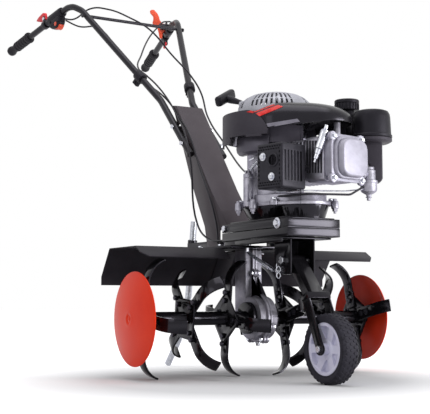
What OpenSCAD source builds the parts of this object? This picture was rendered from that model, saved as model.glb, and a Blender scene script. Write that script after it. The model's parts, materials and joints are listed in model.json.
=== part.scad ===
// Walk-behind tiller: vertical-shaft engine, belt and worm drive, six tine stars,
// folding transport wheel in front, sliding drag stake behind.
// +Z is up, the machine faces -Y, the operator's right hand is at -X, floor at z = 0.

/* [Rotor] */
// Radius swept by the tine tips, which is also the height of the axle
rotor_r = 145; // [135:1:160]
// Outside diameter of the rotor tubes
tube_d = 34; // [32:1:42]
// Diameter of the tine shaft inside the rotor tubes
shaft_d = 25; // [18:1:27]
// Length of the tine shaft
shaft_len = 250; // [180:1:300]
// Machine centre to the first tine star
star_first = 87; // [84:1:100]
// Distance between neighbouring tine stars
star_pitch = 114; // [70:1:120]
// Edge length of a square star plate
star_side = 96; // [84:1:104]
// Thickness of a star plate
star_t = 5; // [3:0.5:8]
// Width of a tine bar
tine_w = 32; // [24:1:40]
// Thickness of a tine bar
tine_t = 5; // [3:0.5:6]
// Radius at which a tine starts to bend sideways
tine_bend_r = 88; // [80:1:100]
// Sideways throw of a tine tip
tine_throw = 40; // [25:1:41]
// Sideways throw of the one tine that is bent outward
tine_outward = 14; // [6:1:16]
// Forward lean of the stars on the right-hand rotor
phase_right = 7; // [0:1:45]
// Rearward lean of the stars on the left-hand rotor
phase_left = 13; // [0:1:45]
// Diameter of the tine bolts
tine_bolt_d = 9; // [6:0.5:10]
// Radius of the inner tine bolt from the axle
tine_bolt_r = 44; // [40:1:48]
// Radial distance between the two bolts of a tine
tine_bolt_gap = 20; // [16:1:24]

/* [Plant discs] */
// Diameter of a plant protection disc
disc_d = 225; // [180:1:260]
// Machine centre to the rim of a disc
disc_x = 337; // [325:1:380]
// Depth of the dish of a disc
disc_dish = 14; // [6:1:25]
// Sheet thickness of a disc
disc_t = 1.8; // [1:0.1:3]
// Reach of the disc stub into its rotor tube
disc_stub_len = 50; // [40:1:60]
// Diameter of the bolt through each rotor tube and disc stub
disc_bolt_d = 8; // [5:0.5:10]

/* [Worm gearbox] */
// Sideways offset of the gearbox from the machine centre
gear_x = 10; // [0:1:12]
// Distance between the worm axis and the axle
gear_cd = 45; // [40:1:52]
// Tip radius of the worm
worm_r = 10; // [8:0.5:12]
// Teeth of the worm wheel
worm_teeth = 22; // [16:1:30]
// Width of the worm wheel
worm_wheel_w = 14; // [8:1:20]
// Depth of one half of the gearbox case
case_half = 25; // [20:1:26]
// Outer radius of the round part of the case
case_r = 54; // [52:1:60]
// Extra radius of the joint flange of the case
flange_out = 7; // [4:0.5:9]
// Thickness of the joint flange on each half
flange_t = 8; // [5:0.5:12]
// Half width of the upright neck of the case
neck_half = 26; // [24:1:32]
// Diameter of the case bolts
case_bolt_d = 8; // [5:0.5:9]
// Radius of the dirt collar on each rotor tube
collar_r = 40; // [30:1:48]
// Thickness of the dirt collar
collar_t = 12; // [6:1:16]

/* [Belt drive] */
// Height of the middle of the belt
belt_z = 354; // [353:1:356]
// Thickness of the belt
belt_t = 6; // [4:0.5:8]
// Height of the belt section
belt_h = 8; // [6:0.5:9]
// Groove radius of the crankshaft pulley
crank_groove_r = 20; // [18:1:22]
// Groove radius of the worm shaft pulley
input_groove_r = 30; // [27:1:31]
// Radius of the idler pulley
idler_r = 10; // [8:0.5:11]
// Diameter of the worm shaft
worm_shaft_d = 15; // [12:1:17]
// Length of the idler arm
idler_arm_len = 42; // [36:1:48]

/* [Frame] */
// Overall width of the frame bars
frame_w = 148; // [144:1:170]
// Width of one frame bar
bar_w = 22; // [16:1:23]
// Height of one frame bar
bar_h = 21; // [18:1:24]
// Wall of the frame bars
bar_wall = 2.5; // [1.5:0.5:4]
// Front face of the frame, ahead of the axle
frame_front = 263; // [256:1:280]
// Rear end of the frame bars, behind the axle
frame_rear = 36; // [32:1:38]
// Underside of the chassis plate
deck_z = 318; // [317:1:320]
// Thickness of the chassis plate
deck_t = 6; // [4:0.5:8]
// Half width of the chassis plate
deck_half = 106; // [100:1:112]
// Height of the frame bars above the chassis plate
riser_h = 13; // [12:1:14]
// Diameter of the through bolts in the frame
frame_bolt_d = 10; // [6:1:12]

/* [Front wheel] */
// Outer radius of the tyre
wheel_r = 80; // [70:1:90]
// Width of the tyre
tyre_w = 44; // [36:1:50]
// Radius of the tyre seat on the rim
rim_r = 60; // [52:1:64]
// Number of spokes
spokes = 6; // [4:1:9]
// Wheel axle, ahead of the main axle
wheel_ahead = 321; // [318:1:345]
// Diameter of the wheel bolt
wheel_bolt_d = 10; // [8:0.5:14]
// Thickness of a fork leg
leg_t = 5; // [4:0.5:8]
// Width of a fork leg
leg_w = 26; // [20:1:30]
// Gap between tyre and fork leg
leg_gap = 4; // [2:0.5:8]
// Pivot of the wheel arm, ahead of the main axle
pivot_ahead = 183; // [180:1:186]
// Height of the pivot of the wheel arm
pivot_z = 284; // [280:1:286]
// Half width of the wheel tower
tower_half = 35; // [33:1:38]
// Wall of the wheel tower
tower_wall = 4; // [3:0.5:6]
// Half width of the wheel arm inside the tower
arm_half = 22; // [18:1:28]
// Diameter of the pivot bolt
pivot_d = 12; // [8:0.5:14]

/* [Tine guard] */
// Half width over both guards
guard_half = 342; // [320:1:380]
// Sheet thickness of the guards
guard_t = 2; // [1:0.5:3]
// Front edge of the guard top, ahead of the axle
guard_front = 18; // [0:1:30]
// Reach of the front lip
lip_reach = 40; // [20:1:45]
// Drop of the front lip
lip_drop = 26; // [15:1:30]
// Length of the flat top of the guard
guard_top = 149; // [145:1:160]
// Drop of the sloping rear sheet
slope_drop = 69; // [50:1:75]
// Reach of the sloping rear sheet
slope_reach = 48; // [30:1:60]
// Height of the upright rear hem
hem_h = 20; // [10:1:22]
// Corner cut off the outer end of the front lip
lip_corner = 14; // [6:1:20]

/* [Drag stake] */
// Diameter of the drag stake
stake_d = 18; // [14:1:20]
// Hitch sleeve, behind the axle
hitch_back = 328; // [315:1:345]
// Height of the middle of the hitch sleeve
hitch_z = 336; // [334:1:338]
// Height of the hitch sleeve
hitch_h = 44; // [30:1:50]
// Wall of the hitch sleeve
hitch_wall = 4; // [3:0.5:6]
// Backward lean of the stake and its sleeve
stake_lean = 8.7; // [4:0.1:12]
// Length of the stake above the middle of the sleeve
stake_up = 74; // [50:1:90]
// Length of the stake below the middle of the sleeve, down to its knee
stake_down = 136; // [120:1:140]
// Diameter of the cross bore of the hitch beam
hitch_bore_d = 12; // [8:0.5:14]
// Width of the hitch beam
hitch_beam_w = 30; // [26:1:36]

/* [Handlebar] */
// Diameter of the handle tubes
handle_d = 20; // [18:1:22]
// Half width of the console between the handle tubes
console_half = 42; // [40:1:46]
// Sheet thickness of the console
console_t = 2; // [1.5:0.5:3]
// Diameter of the handle bolts
handle_bolt_d = 8; // [6:0.5:9]
// Outside diameter of the grips
grip_d = 32; // [28:1:36]
// Length of the grips
grip_len = 124; // [100:1:130]
// Height adjustment each way, in degrees
tilt_range = 6; // [2:1:7]
// Diameter of the crossbar
crossbar_d = 10; // [8:0.5:12]
// Diameter of the control cables
cable_d = 5; // [4:0.5:6]

/* [Engine] */
// Crankshaft, ahead of the axle
crank_ahead = 100; // [98:1:102]
// Turn of the cylinder toward the left-hand side
engine_turn = 12; // [10:1:14]
// Height of the engine mounting face
mount_z = 414; // [412:1:416]
// Height of the cylinder axis above the mounting face
bore_up = 102; // [100:1:106]
// Radius of the sump round the crankshaft
sump_r = 88; // [86:1:92]
// Thickness of the sump flange
sump_flange_t = 9; // [6:1:12]
// Height of the sump above its flange
sump_h = 28; // [26:1:30]
// Radius of the crankcase
crankcase_r = 70; // [60:1:72]
// Edge of the square cylinder core
cylinder_w = 84; // [76:1:88]
// Edge of the square cooling fins
fin_w = 100; // [92:1:102]
// Thickness of a cooling fin
fin_t = 3; // [2:0.5:4]
// Number of cooling fins
fins = 7; // [4:1:8]
// Face of the cylinder head from the crankshaft
head_end = 205; // [204:1:208]
// Width of the rocker cover flange
cover_w = 98; // [90:1:100]
// Height of the rocker cover flange
cover_h = 106; // [98:1:108]
// Depth of the rocker cover cap
cover_depth = 24; // [16:1:28]
// Width of the muffler guard across the engine
muffler_w = 78; // [74:1:80]
// Length of the muffler guard along the cylinder
muffler_l = 80; // [74:1:84]
// Height of the muffler guard
muffler_h = 104; // [98:1:106]
// Outer radius of the blower shroud
shroud_r = 132; // [128:1:136]
// Height of the blower shroud above the mounting face
shroud_up = 166; // [165:1:168]
// Height of the blower shroud
shroud_h = 62; // [58:1:64]
// Sheet thickness of the engine's covers
skin_t = 2.5; // [2:0.5:3]
// Radius of the fan cover
fan_r = 88; // [84:1:90]
// Height of the fan cover
fan_h = 66; // [60:1:70]
// Number of slots round the fan cover
fan_slots = 30; // [16:1:36]
// Radius of the flywheel
flywheel_r = 76; // [64:1:78]
// Diameter of the crankshaft
crank_d = 25; // [22:1:26]
// Radius of the fuel cap
cap_r = 30; // [26:1:32]
// Radius of the air filter cap
filter_r = 47; // [42:1:50]
// Height of the air filter cap
filter_h = 70; // [60:1:74]

/* [Fits] */
// Running clearance between pieces that move
run = 0.3; // [0.3:0.05:0.4]
// Clearance of a bolt in its hole
fit = 0.1; // [0.05:0.05:0.15]

/* [Hidden] */
$fn = 64;

// Handle tube centre line on the left-hand side, from the lower end to the grip end.
// The wrist, crest and neck of its upper bend are set back from the grip end.
handle_low = [52, 242, 587];
handle_kink = [52, 422, 766];
handle_end = [255, 1153, 1041];
wrist_run = [64, 347, -76];
crest_run = [7, 31, 3];
neck_run = [14, 37, 20];
handle_wrist = handle_end - wrist_run;
handle_crest = handle_wrist - crest_run;
handle_neck = handle_crest - neck_run;
// Lower handle bolt, which is the hinge of the handlebar, and the upper bolt in its slot
hinge_point = [0, 276, 622];
slot_point = [0, 330, 676];
// Cable clamp and crossbar on the handle tubes
clamp_share = 0.25;
crossbar_share = 0.935;
// Side outline of the console from the top, down its rear edge, and up its front edge
console_side = [[345, 740], [368, 744], [318, 640], [250, 500], [182, 386], [166, deck_z + deck_t],
    [100, deck_z + deck_t], [100, deck_z + deck_t + 46], [62, 382], [148, 481]];

// Control cables, hand-placed round the tubes and the console, from the controls downward
throttle_route = [[-196, 831, 1087], [-176, 786, 1078], [-146, 735, 1102], [-115, 667, 1089],
    [-75, 592, 1050], [-30, 541, 1006], [30, 512, 930], [76, 478, 865], [97, 455, 815], [97, 411, 732],
    [90, 300, 635], [40, 125, 541], [-10, 0, 508], [-24, -33, 500]];
clutch_route = [[200, 853, 1137], [160, 829, 1123], [120, 797, 1088], [80, 762, 1050], [0, 662, 957],
    [-54, 570, 890], [-54, 515, 858], [-47, 461, 820], [-44, 382, 755], [-47, 324, 699], [-58, 267, 652],
    [-66, 220, 574], [-62, 186, 392], [-61, 130, 350], [-61, 38, 340]];
reverse_route = [[-186, 833, 1083], [-160, 792, 1058], [-130, 700, 1035], [-92, 600, 925], [-64, 530, 845],
    [-38, 478, 800], [-40, 398, 790], [-54, 332, 722], [-48, 262, 648], [-48, 205, 556], [-48, 110, 389],
    [-50, 96, 327]];

// Fixed places worked out from the driving dimensions
axle_z = rotor_r;
deck_top = deck_z + deck_t;
bar_bottom = deck_top + riser_h;
frame_top = bar_bottom + 2 * bar_h;
star_xs = [for (i = [0:2]) star_first + i * star_pitch];
star_turns = [0, 45, 0];
tine_root_r = tube_d / 2 + 8;
pulley_h = belt_h + 6;
crank_z = mount_z + bore_up;
wheel_z = wheel_r;
lip_front = guard_front + lip_reach;
slope_top = guard_top - guard_front;
slope_foot = slope_top + slope_reach;
wheel_front = wheel_ahead + wheel_r;
grip_dir = unit(handle_end - handle_wrist);
grip_cap = 4;
grip_back = handle_end[1] + grip_cap * grip_dir[1] + grip_d / 2 * sqrt(1 - grip_dir[1] * grip_dir[1]);
axle_y = (wheel_front - grip_back) / 2;
case_top = deck_z - axle_z;

// ---------- helpers ----------
module at_axle() translate([0, axle_y, 0]) children();
module along_x() rotate([0, 90, 0]) children();
// Turns a flat outline of (Y, Z) points into a slab whose thickness lies along X, centred
module slab_x(t) rotate([90, 0, 90]) linear_extrude(height = t, center = true) children();
// Round bar between two points
module rod(a, b, d) {
    v = b - a;
    translate(a) rotate([0, acos(v[2] / norm(v)), atan2(v[1], v[0])]) cylinder(h = norm(v), d = d);
}
// Round bar along a row of points, with a ball in each corner
module bent_rod(pts, d) {
    for (i = [1:len(pts) - 1]) rod(pts[i - 1], pts[i], d);
    for (i = [1:len(pts) - 2]) translate(pts[i]) sphere(d = d + 0.2);
}
// Hexagon-headed bolt along +Z from z = 0, with its head below and a nut above
module bolt(len, d, head = 1.7) {
    translate([0, 0, -0.6 * d]) cylinder(h = 0.6 * d, d = head * d, $fn = 6);
    cylinder(h = len, d = d);
    translate([0, 0, len]) cylinder(h = 0.6 * d, d = head * d, $fn = 6);
}
module bolt_x(len, d, head = 1.7) translate([-len / 2, 0, 0]) along_x() bolt(len, d, head);
module washer(d, t, hole) difference() {
    cylinder(h = t, d = d);
    translate([0, 0, -1]) cylinder(h = t + 2, d = hole);
}
// Swept cable with flat ends: one ring of points at each place along a smoothed route
function spline(p, i, t) =
    let(a = p[max(i - 1, 0)], b = p[i], c = p[i + 1], d = p[min(i + 2, len(p) - 1)])
    0.5 * (2 * b + (c - a) * t + (2 * a - 5 * b + 4 * c - d) * t * t + (3 * b - a - 3 * c + d) * t * t * t);
function smooth(p, n) = concat([for (i = [0:len(p) - 2]) for (k = [0:n - 1]) spline(p, i, k / n)],
    [p[len(p) - 1]]);
function unit(v) = v / norm(v);
function heading(c, i) = unit(c[min(i + 1, len(c) - 1)] - c[max(i - 1, 0)]);
function side_of(h) = unit(cross(h, [0.3, 0.2, 1]));
module cable(route, d, sides = 8, per_leg = 2) {
    c = smooth(route, per_leg);
    n = len(c);
    pts = [for (i = [0:n - 1]) let(h = heading(c, i), u = side_of(h), v = cross(h, u))
        for (k = [0:sides - 1]) c[i] + d / 2 * (u * cos(360 * k / sides) + v * sin(360 * k / sides))];
    skin = [for (i = [0:n - 2]) for (k = [0:sides - 1]) let(m = (k + 1) % sides)
        each [[i * sides + k, i * sides + m, (i + 1) * sides + m],
            [i * sides + k, (i + 1) * sides + m, (i + 1) * sides + k]]];
    caps = [[for (k = [sides - 1:-1:0]) k], [for (k = [0:sides - 1]) (n - 1) * sides + k]];
    polyhedron(points = pts, faces = concat(skin, caps));
}
// Solid with the outline of a belt run round two pulleys: circle a round the origin, circle b at p
module belt_solid(a, b, p, h) {
    reach = norm(p);
    aim = atan2(p[1], p[0]);
    lean = acos((a - b) / reach);
    function rim(c, r, t) = c + 0.999 * r * [cos(t), sin(t)];
    cylinder(h = h, r = a);
    translate(p) cylinder(h = h, r = b);
    linear_extrude(height = h) polygon([rim([0, 0], a, aim + lean), rim(p, b, aim + lean), rim(p, b, aim - lean),
        rim([0, 0], a, aim - lean)]);
}

// ---------- frame ----------
module bar_u(z) translate([0, 0, z]) difference() {
    translate([-frame_w / 2, -frame_front, 0]) cube([frame_w, frame_front + frame_rear, bar_h]);
    translate([-frame_w / 2 + bar_w, -frame_front + bar_w, -1])
        cube([frame_w - 2 * bar_w, frame_front + frame_rear, bar_h + 2]);
    for (s = [-1, 1]) translate([s * (frame_w - bar_w) / 2 - bar_w / 2 + bar_wall, -frame_front + bar_w, bar_wall])
        cube([bar_w - 2 * bar_wall, frame_front + frame_rear, bar_h - 2 * bar_wall]);
    translate([-frame_w / 2 + bar_wall, -frame_front + bar_wall, bar_wall])
        cube([frame_w - 2 * bar_wall, bar_w - 2 * bar_wall, bar_h - 2 * bar_wall]);
    children();
}
frame_bolt_ys = [-219, 21];
module frame_holes(z) for (y = frame_bolt_ys) translate([-frame_w, y, z]) along_x()
    cylinder(h = 2 * frame_w, d = frame_bolt_d + 2 * fit);
module main_frame() color("#17161a") at_axle() {
    bar_u(bar_bottom);
    bar_u(bar_bottom + bar_h) frame_holes(bar_h / 2);
}
pan_t = 4;
pan_wall = 6;
pan_front = 150;
module pan_cone(grow) at_crank() translate([0, 0, frame_top + pan_t - mount_z]) {
    h = mount_z - frame_top - pan_t;
    cylinder(h = h, r1 = crankcase_r - pan_wall + grow, r2 = sump_r - pan_wall + grow);
    translate(sump_nose) cylinder(h = h, r1 = sump_nose_r - 16 + grow, r2 = sump_nose_r - pan_wall + grow);
}
module engine_pan() color("#1b1a1d") difference() {
    union() {
        at_axle() translate([-frame_w / 2 + 2, -crank_ahead - pan_front + 6, frame_top])
            cube([frame_w - 4, pan_front + 92, pan_t]);
        pan_cone(0);
    }
    at_axle() translate([0, -crank_ahead, frame_top - 1]) cylinder(h = pan_t + 2, d = 60);
    intersection() {
        pan_cone(-pan_wall);
        at_crank() translate([-200, -300, -mount_z + frame_top + pan_t]) cube([400, 500, mount_z]);
    }
    at_crank() translate([0, 0, -1]) cylinder(h = 2, r = sump_r - 2 * pan_wall);
}
module chassis_plate() color("#201f22") at_axle() difference() {
    union() {
        translate([-deck_half, -60, deck_z]) cube([2 * deck_half, 212, deck_t]);
        for (s = [-1, 1]) translate([s * (frame_w - bar_w) / 2 - 7, -40, deck_top]) cube([14, 70, riser_h]);
        translate([idler_pivot[0], idler_pivot[1], deck_top]) cylinder(h = riser_h + 5, r = 5);
    }
    translate([gear_x, gear_cd, deck_z - 1]) cylinder(h = deck_t + 2, d = worm_shaft_d + 2);
    for (x = deck_bolt_xs) for (y = deck_bolt_ys) translate([x, y, deck_z - 1])
        cylinder(h = deck_t + 2, d = 8 + 2 * fit);
}
deck_bolt_xs = [-deck_half + 12, deck_half - 12];
deck_bolt_ys = [10, 112];
module chassis_bolts() color("#c9ccd2") at_axle() {
    translate([0, frame_bolt_ys[0], bar_bottom + 1.5 * bar_h]) {
        bolt_x(frame_w + 4, frame_bolt_d, 1.6);
        for (s = [-1, 1]) translate([s * (frame_w / 2 + 1) - 1, 0, 0]) along_x() washer(26, 2, frame_bolt_d + 2 * fit);
    }
    translate([0, frame_bolt_ys[1], bar_bottom + 1.5 * bar_h]) bolt_x(frame_w, frame_bolt_d, 1.6);
    for (x = deck_bolt_xs) for (y = deck_bolt_ys) translate([x, y, deck_z - guard_t]) bolt(deck_t + guard_t, 8);
    for (p = case_bolt_places) translate([gear_x - flange_t, p[0], axle_z + p[1]]) along_x()
        bolt(2 * flange_t, case_bolt_d, 1.6);
    translate([gear_x, 0, axle_z - case_r - flange_out]) rotate([180, 0, 0]) {
        cylinder(h = 3, d = 14);
        translate([0, 0, 3]) cylinder(h = 6, d = 12, $fn = 6);
    }
}

// ---------- worm gearbox and belt ----------
case_ear = flange_out + 0.5;
case_bolt_places = concat([for (a = [-60, -120, 200]) (case_r + case_ear) * [cos(a), sin(a)]],
    [[gear_cd + neck_half + case_ear, -5], [gear_cd + neck_half + case_ear, case_top - 60],
        [gear_cd - neck_half - case_ear, case_top - 60]]);
module case_outline(grow) {
    circle(r = case_r + grow);
    translate([gear_cd - neck_half - grow, -case_r * 0.5])
        square([2 * (neck_half + grow), case_top + case_r * 0.5]);
}
module case_half(s) difference() {
    union() {
        translate([gear_x + s * case_half / 2, 0, axle_z]) slab_x(case_half) case_outline(0);
        translate([gear_x + s * flange_t / 2, 0, axle_z]) slab_x(flange_t) difference() {
            union() {
                case_outline(flange_out);
                for (p = case_bolt_places) translate(p) circle(d = 2 * case_bolt_d + 4);
            }
            translate([-100, case_top]) square([300, 40]);
        }
    }
    translate([gear_x - s, 0, axle_z]) along_x() scale([1, 1, s]) cylinder(h = worm_wheel_w / 2 + 4, r = gear_cd - worm_r + 4);
    translate([gear_x, gear_cd, axle_z - 30]) cylinder(h = case_top - 30, r = worm_r + 4);
    translate([gear_x, gear_cd, axle_z]) cylinder(h = case_top + 1, d = worm_shaft_d + 2 * run);
    translate([-200, 0, axle_z]) along_x() cylinder(h = 400, d = shaft_d + 2 * run);
    for (p = case_bolt_places) translate([-200, p[0], axle_z + p[1]]) along_x() cylinder(h = 400, d = case_bolt_d + 2 * fit);
}
module gearbox_case_right() color("#5d5a62") at_axle() case_half(-1);
module gearbox_case_left() color("#7d7a84") at_axle() case_half(1);
module worm_wheel() color("#b08d57") at_axle() translate([gear_x, 0, axle_z]) {
    tip = gear_cd - worm_r - 0.4;
    slab_x(worm_wheel_w) difference() {
        circle(r = tip);
        circle(d = shaft_d + 2 * fit);
        for (i = [0:worm_teeth - 1]) rotate(i * 360 / worm_teeth) translate([tip, 0]) circle(r = 2.2, $fn = 6);
    }
}
shaft_pin_x = star_first + 16;
module tine_shaft() color("#8d8f94") at_axle() translate([0, 0, axle_z]) difference() {
    translate([gear_x - shaft_len / 2, 0, 0]) along_x() cylinder(h = shaft_len, d = shaft_d);
    for (s = [-1, 1]) translate([s * shaft_pin_x, 0, 0]) cylinder(h = 2 * tube_d, d = disc_bolt_d + 2 * fit, center = true);
}
module pulley(r, bore) rotate_extrude() difference() {
    translate([bore / 2, -pulley_h / 2]) square([r + 6 - bore / 2, pulley_h]);
    polygon([[r, -belt_h / 2 - 0.5], [r + 7, -belt_h / 2 - 2], [r + 7, belt_h / 2 + 2], [r, belt_h / 2 + 0.5]]);
}
worm_turns = 8;
worm_pitch = 6;
module worm_drive_shaft() color("#93959a") at_axle() translate([gear_x, gear_cd, 0]) {
    translate([0, 0, axle_z - 28]) cylinder(h = belt_z + pulley_h / 2 + 4 - axle_z + 28, d = worm_shaft_d);
    for (i = [0:worm_turns - 1]) translate([0, 0, axle_z - worm_turns * worm_pitch / 2 + i * worm_pitch]) {
        cylinder(h = worm_pitch / 2, r1 = worm_r - 2, r2 = worm_r);
        translate([0, 0, worm_pitch / 2]) cylinder(h = worm_pitch / 2, r1 = worm_r, r2 = worm_r - 2);
    }
    translate([0, 0, belt_z]) pulley(input_groove_r, worm_shaft_d + 2 * fit);
}
belt_from_crank = [gear_x, gear_cd + crank_ahead];
module drive_belt() color("#1a1a1c") at_axle() translate([0, -crank_ahead, belt_z - belt_h / 2])
    difference() {
        belt_solid(crank_groove_r + run + belt_t, input_groove_r + run + belt_t, belt_from_crank, belt_h);
        translate([0, 0, -1]) belt_solid(crank_groove_r + run, input_groove_r + run, belt_from_crank, belt_h + 2);
    }
// The idler sits beside the near run of the belt, on an arm that swings about its pivot stud
idler_point = [-crank_groove_r - 2 * run - belt_t - idler_r, -42];
idler_pivot = [idler_point[0] + 6, idler_point[1] + sqrt(idler_arm_len * idler_arm_len - 36)];
arm_aim = atan2(idler_point[1] - idler_pivot[1], idler_point[0] - idler_pivot[0]);
arm_t = 4;
arm_z = deck_top + 6;
module idler_arm() color("#8a8c91") at_axle() translate([idler_pivot[0], idler_pivot[1], arm_z]) difference() {
    union() {
        cylinder(h = arm_t, r = 9);
        rotate(arm_aim) translate([0, -7, 0]) cube([idler_arm_len, 14, arm_t]);
        rotate(arm_aim) translate([idler_arm_len, 0, 0]) {
            cylinder(h = arm_t, r = 7);
            cylinder(h = belt_z + belt_h / 2 - arm_z + 2, r = 3);
        }
    }
    translate([0, 0, -1]) cylinder(h = arm_t + 2, r = 5 + 0.1);
}
module idler_pulley() color("#3a3a3e") at_axle() translate([idler_point[0], idler_point[1], belt_z]) difference() {
    cylinder(h = belt_h, r = idler_r, center = true);
    cylinder(h = belt_h + 2, r = 3 + 0.1, center = true);
}
spring_front = [-tower_half - 7, -146, 262];
spring_back = [-40, -30, deck_z - 9];
module tension_spring() color("#c4c7cc") at_axle() {
    v = spring_back - spring_front;
    for (i = [0:17]) rod(spring_front + v * (0.1 + i * 0.8 / 18), spring_front + v * (0.1 + (i + 0.6) * 0.8 / 18), 9);
    rod(spring_front, spring_back, 5);
    translate(spring_front) along_x() translate([0, 0, -1]) cylinder(h = 8, d = 9);
    translate(spring_back) cylinder(h = 9, d = 8);
}

// ---------- rotor ----------
module star(x, turn, s) translate([s * x, 0, 0]) rotate([turn, 0, 0]) rotate([45, 0, 0])
    cube([star_t, star_side, star_side], center = true);
module rotor_half(s, phase) difference() {
    inner = s > 0 ? gear_x + case_half + 1 : gear_x - case_half - 1;
    translate([0, 0, axle_z]) union() {
        translate([s > 0 ? inner : -disc_x + tube_end, 0, 0]) along_x()
            cylinder(h = disc_x - tube_end - s * inner, d = tube_d);
        translate([s > 0 ? inner : inner - collar_t, 0, 0]) along_x() cylinder(h = collar_t, r = collar_r);
        for (i = [0:2]) star(star_xs[i], phase + star_turns[i], s);
    }
    translate([-400, 0, axle_z]) along_x() cylinder(h = 800, d = shaft_d + 2 * fit);
    translate([0, 0, axle_z]) for (i = [0:2]) for (k = [0:3]) rotate([phase + star_turns[i] + 90 * k, 0, 0])
        for (j = [0, 1]) translate([s * star_xs[i] - 20, 0, tine_bolt_r + j * tine_bolt_gap]) along_x()
            cylinder(h = 40, d = tine_bolt_d + 2 * fit);
    for (x = [shaft_pin_x, disc_pin_x]) translate([s * x, 0, axle_z])
        cylinder(h = 2 * tube_d, d = disc_bolt_d + 2 * fit, center = true);
}
module rotor_right() color("#1a191c") at_axle() rotor_half(-1, phase_right);
module rotor_left() color("#1a191c") at_axle() rotor_half(1, -phase_left);
// One tine: a flat bar with two bolt holes, then an arc that throws its tip sideways (+X for throw > 0)
module tine(throw) {
    reach = rotor_r - tine_bend_r - tine_t / 2;
    swing = 2 * atan(abs(throw) / reach);
    bend_r = reach / sin(swing);
    difference() {
        translate([-tine_t / 2, -tine_w / 2, tine_root_r]) cube([tine_t, tine_w, tine_bend_r - tine_root_r]);
        for (j = [0, 1]) translate([-10, 0, tine_bolt_r + j * tine_bolt_gap]) along_x()
            cylinder(h = 20, d = tine_bolt_d + 2 * fit);
    }
    intersection() {
        mirror([throw < 0 ? 1 : 0, 0, 0]) translate([bend_r, 0, tine_bend_r]) rotate([90, 0, 0]) rotate([0, 0, 180])
            rotate([180, 0, 0]) rotate_extrude(angle = swing) translate([bend_r - tine_t / 2, -tine_w / 2])
                square([tine_t, tine_w]);
        along_x() cylinder(h = 400, r = rotor_r, center = true);
    }
}
module tine_set(s, phase) translate([0, 0, axle_z]) for (i = [0:2]) for (k = [0:3])
    translate([s * (star_xs[i] - (star_t + tine_t) / 2), 0, 0]) rotate([phase + star_turns[i] + 90 * k, 0, 0])
        tine((s > 0 && i == 2 && k == 1) ? tine_outward : -s * tine_throw);
module tines_right() color("#232226") at_axle() tine_set(-1, phase_right);
module tines_left() color("#232226") at_axle() tine_set(1, -phase_left);
module rotor_bolts() color("#2b2a2e") at_axle() translate([0, 0, axle_z]) for (s = [-1, 1]) {
    phase = s < 0 ? phase_right : -phase_left;
    for (i = [0:2]) for (k = [0:3]) rotate([phase + star_turns[i] + 90 * k, 0, 0])
        for (j = [0, 1]) translate([s * (star_xs[i] - tine_t / 2), 0, tine_bolt_r + j * tine_bolt_gap])
            bolt_x(star_t + tine_t, tine_bolt_d, 1.5);
    for (x = [shaft_pin_x, disc_pin_x]) translate([s * x, 0, -tube_d / 2]) bolt(tube_d, disc_bolt_d, 1.6);
}
tube_end = 10;
disc_pin_x = disc_x - tube_end - disc_stub_len + 14;
module side_disc(s) {
    ball_r = (pow(disc_d / 2, 2) + pow(disc_dish, 2)) / (2 * disc_dish);
    translate([s * disc_x, 0, axle_z]) rotate([0, s * 90, 0]) {
        intersection() {
            translate([0, 0, disc_dish - ball_r]) difference() {
                sphere(r = ball_r, $fn = 200);
                sphere(r = ball_r - disc_t, $fn = 200);
            }
            cylinder(h = 4 * disc_dish, d = disc_d, center = true);
            translate([0, 0, -disc_t - 1]) cylinder(h = 2 * disc_dish, d = disc_d);
        }
        difference() {
            union() {
                translate([0, 0, -tube_end - disc_stub_len])
                    cylinder(h = tube_end + disc_stub_len + disc_dish - disc_t / 2, d = shaft_d);
                translate([0, 0, -tube_end + run]) cylinder(h = tube_end + disc_dish - disc_t - 1, d = tube_d);
            }
            translate([0, 0, disc_pin_x - disc_x]) rotate([0, 90, 0])
                cylinder(h = 2 * tube_d, d = disc_bolt_d + 2 * fit, center = true);
        }
        translate([0, 0, disc_dish - 1]) cylinder(h = 3, r = 11);
    }
}
module side_discs() color("#e0452b") at_axle() for (s = [-1, 1]) side_disc(s);

// ---------- front wheel ----------
tower_front = 215;
tower_back = 146;
tower_bottom = pivot_z - 33;
tower_top = bar_bottom;
fork_x = tyre_w / 2 + leg_gap + leg_t / 2;
knee = [-268, 192];
module wheel_tower() color("#1c1b1f") at_axle() difference() {
    union() {
        difference() {
            translate([-tower_half, -tower_front, tower_bottom])
                cube([2 * tower_half, tower_front - tower_back, tower_top - tower_bottom]);
            translate([-tower_half + tower_wall, -tower_front - 1, tower_bottom - 1])
                cube([2 * (tower_half - tower_wall), tower_front - tower_back - tower_wall + 1,
                    tower_top - tower_bottom - tower_wall + 1]);
        }
        translate([-frame_w / 2 + 2, -tower_front - 15, tower_top - 4]) cube([frame_w - 4, tower_front - tower_back + 30, 4]);
    }
    translate([-100, -pivot_ahead, pivot_z]) along_x() cylinder(h = 200, d = pivot_d + 2 * fit);
    translate([-100, lock_point[0], lock_point[1]]) along_x() cylinder(h = 200, d = lock_d + 2 * fit);
}
lock_d = 8;
lock_point = [-163, pivot_z - 24];
module tower_pins() color("#cfd2d8") at_axle() {
    translate([0, -pivot_ahead, pivot_z]) bolt_x(2 * tower_half, pivot_d, 1.6);
    translate([0, lock_point[0], lock_point[1]]) {
        translate([-tower_half - 8, 0, 0]) along_x() cylinder(h = 2 * tower_half + 12, d = lock_d);
        translate([tower_half, 0, 0]) along_x() cylinder(h = 4, d = 14);
        translate([-tower_half - 5, 0, -16]) cylinder(h = 32, d = 2.5);
    }
}
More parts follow.
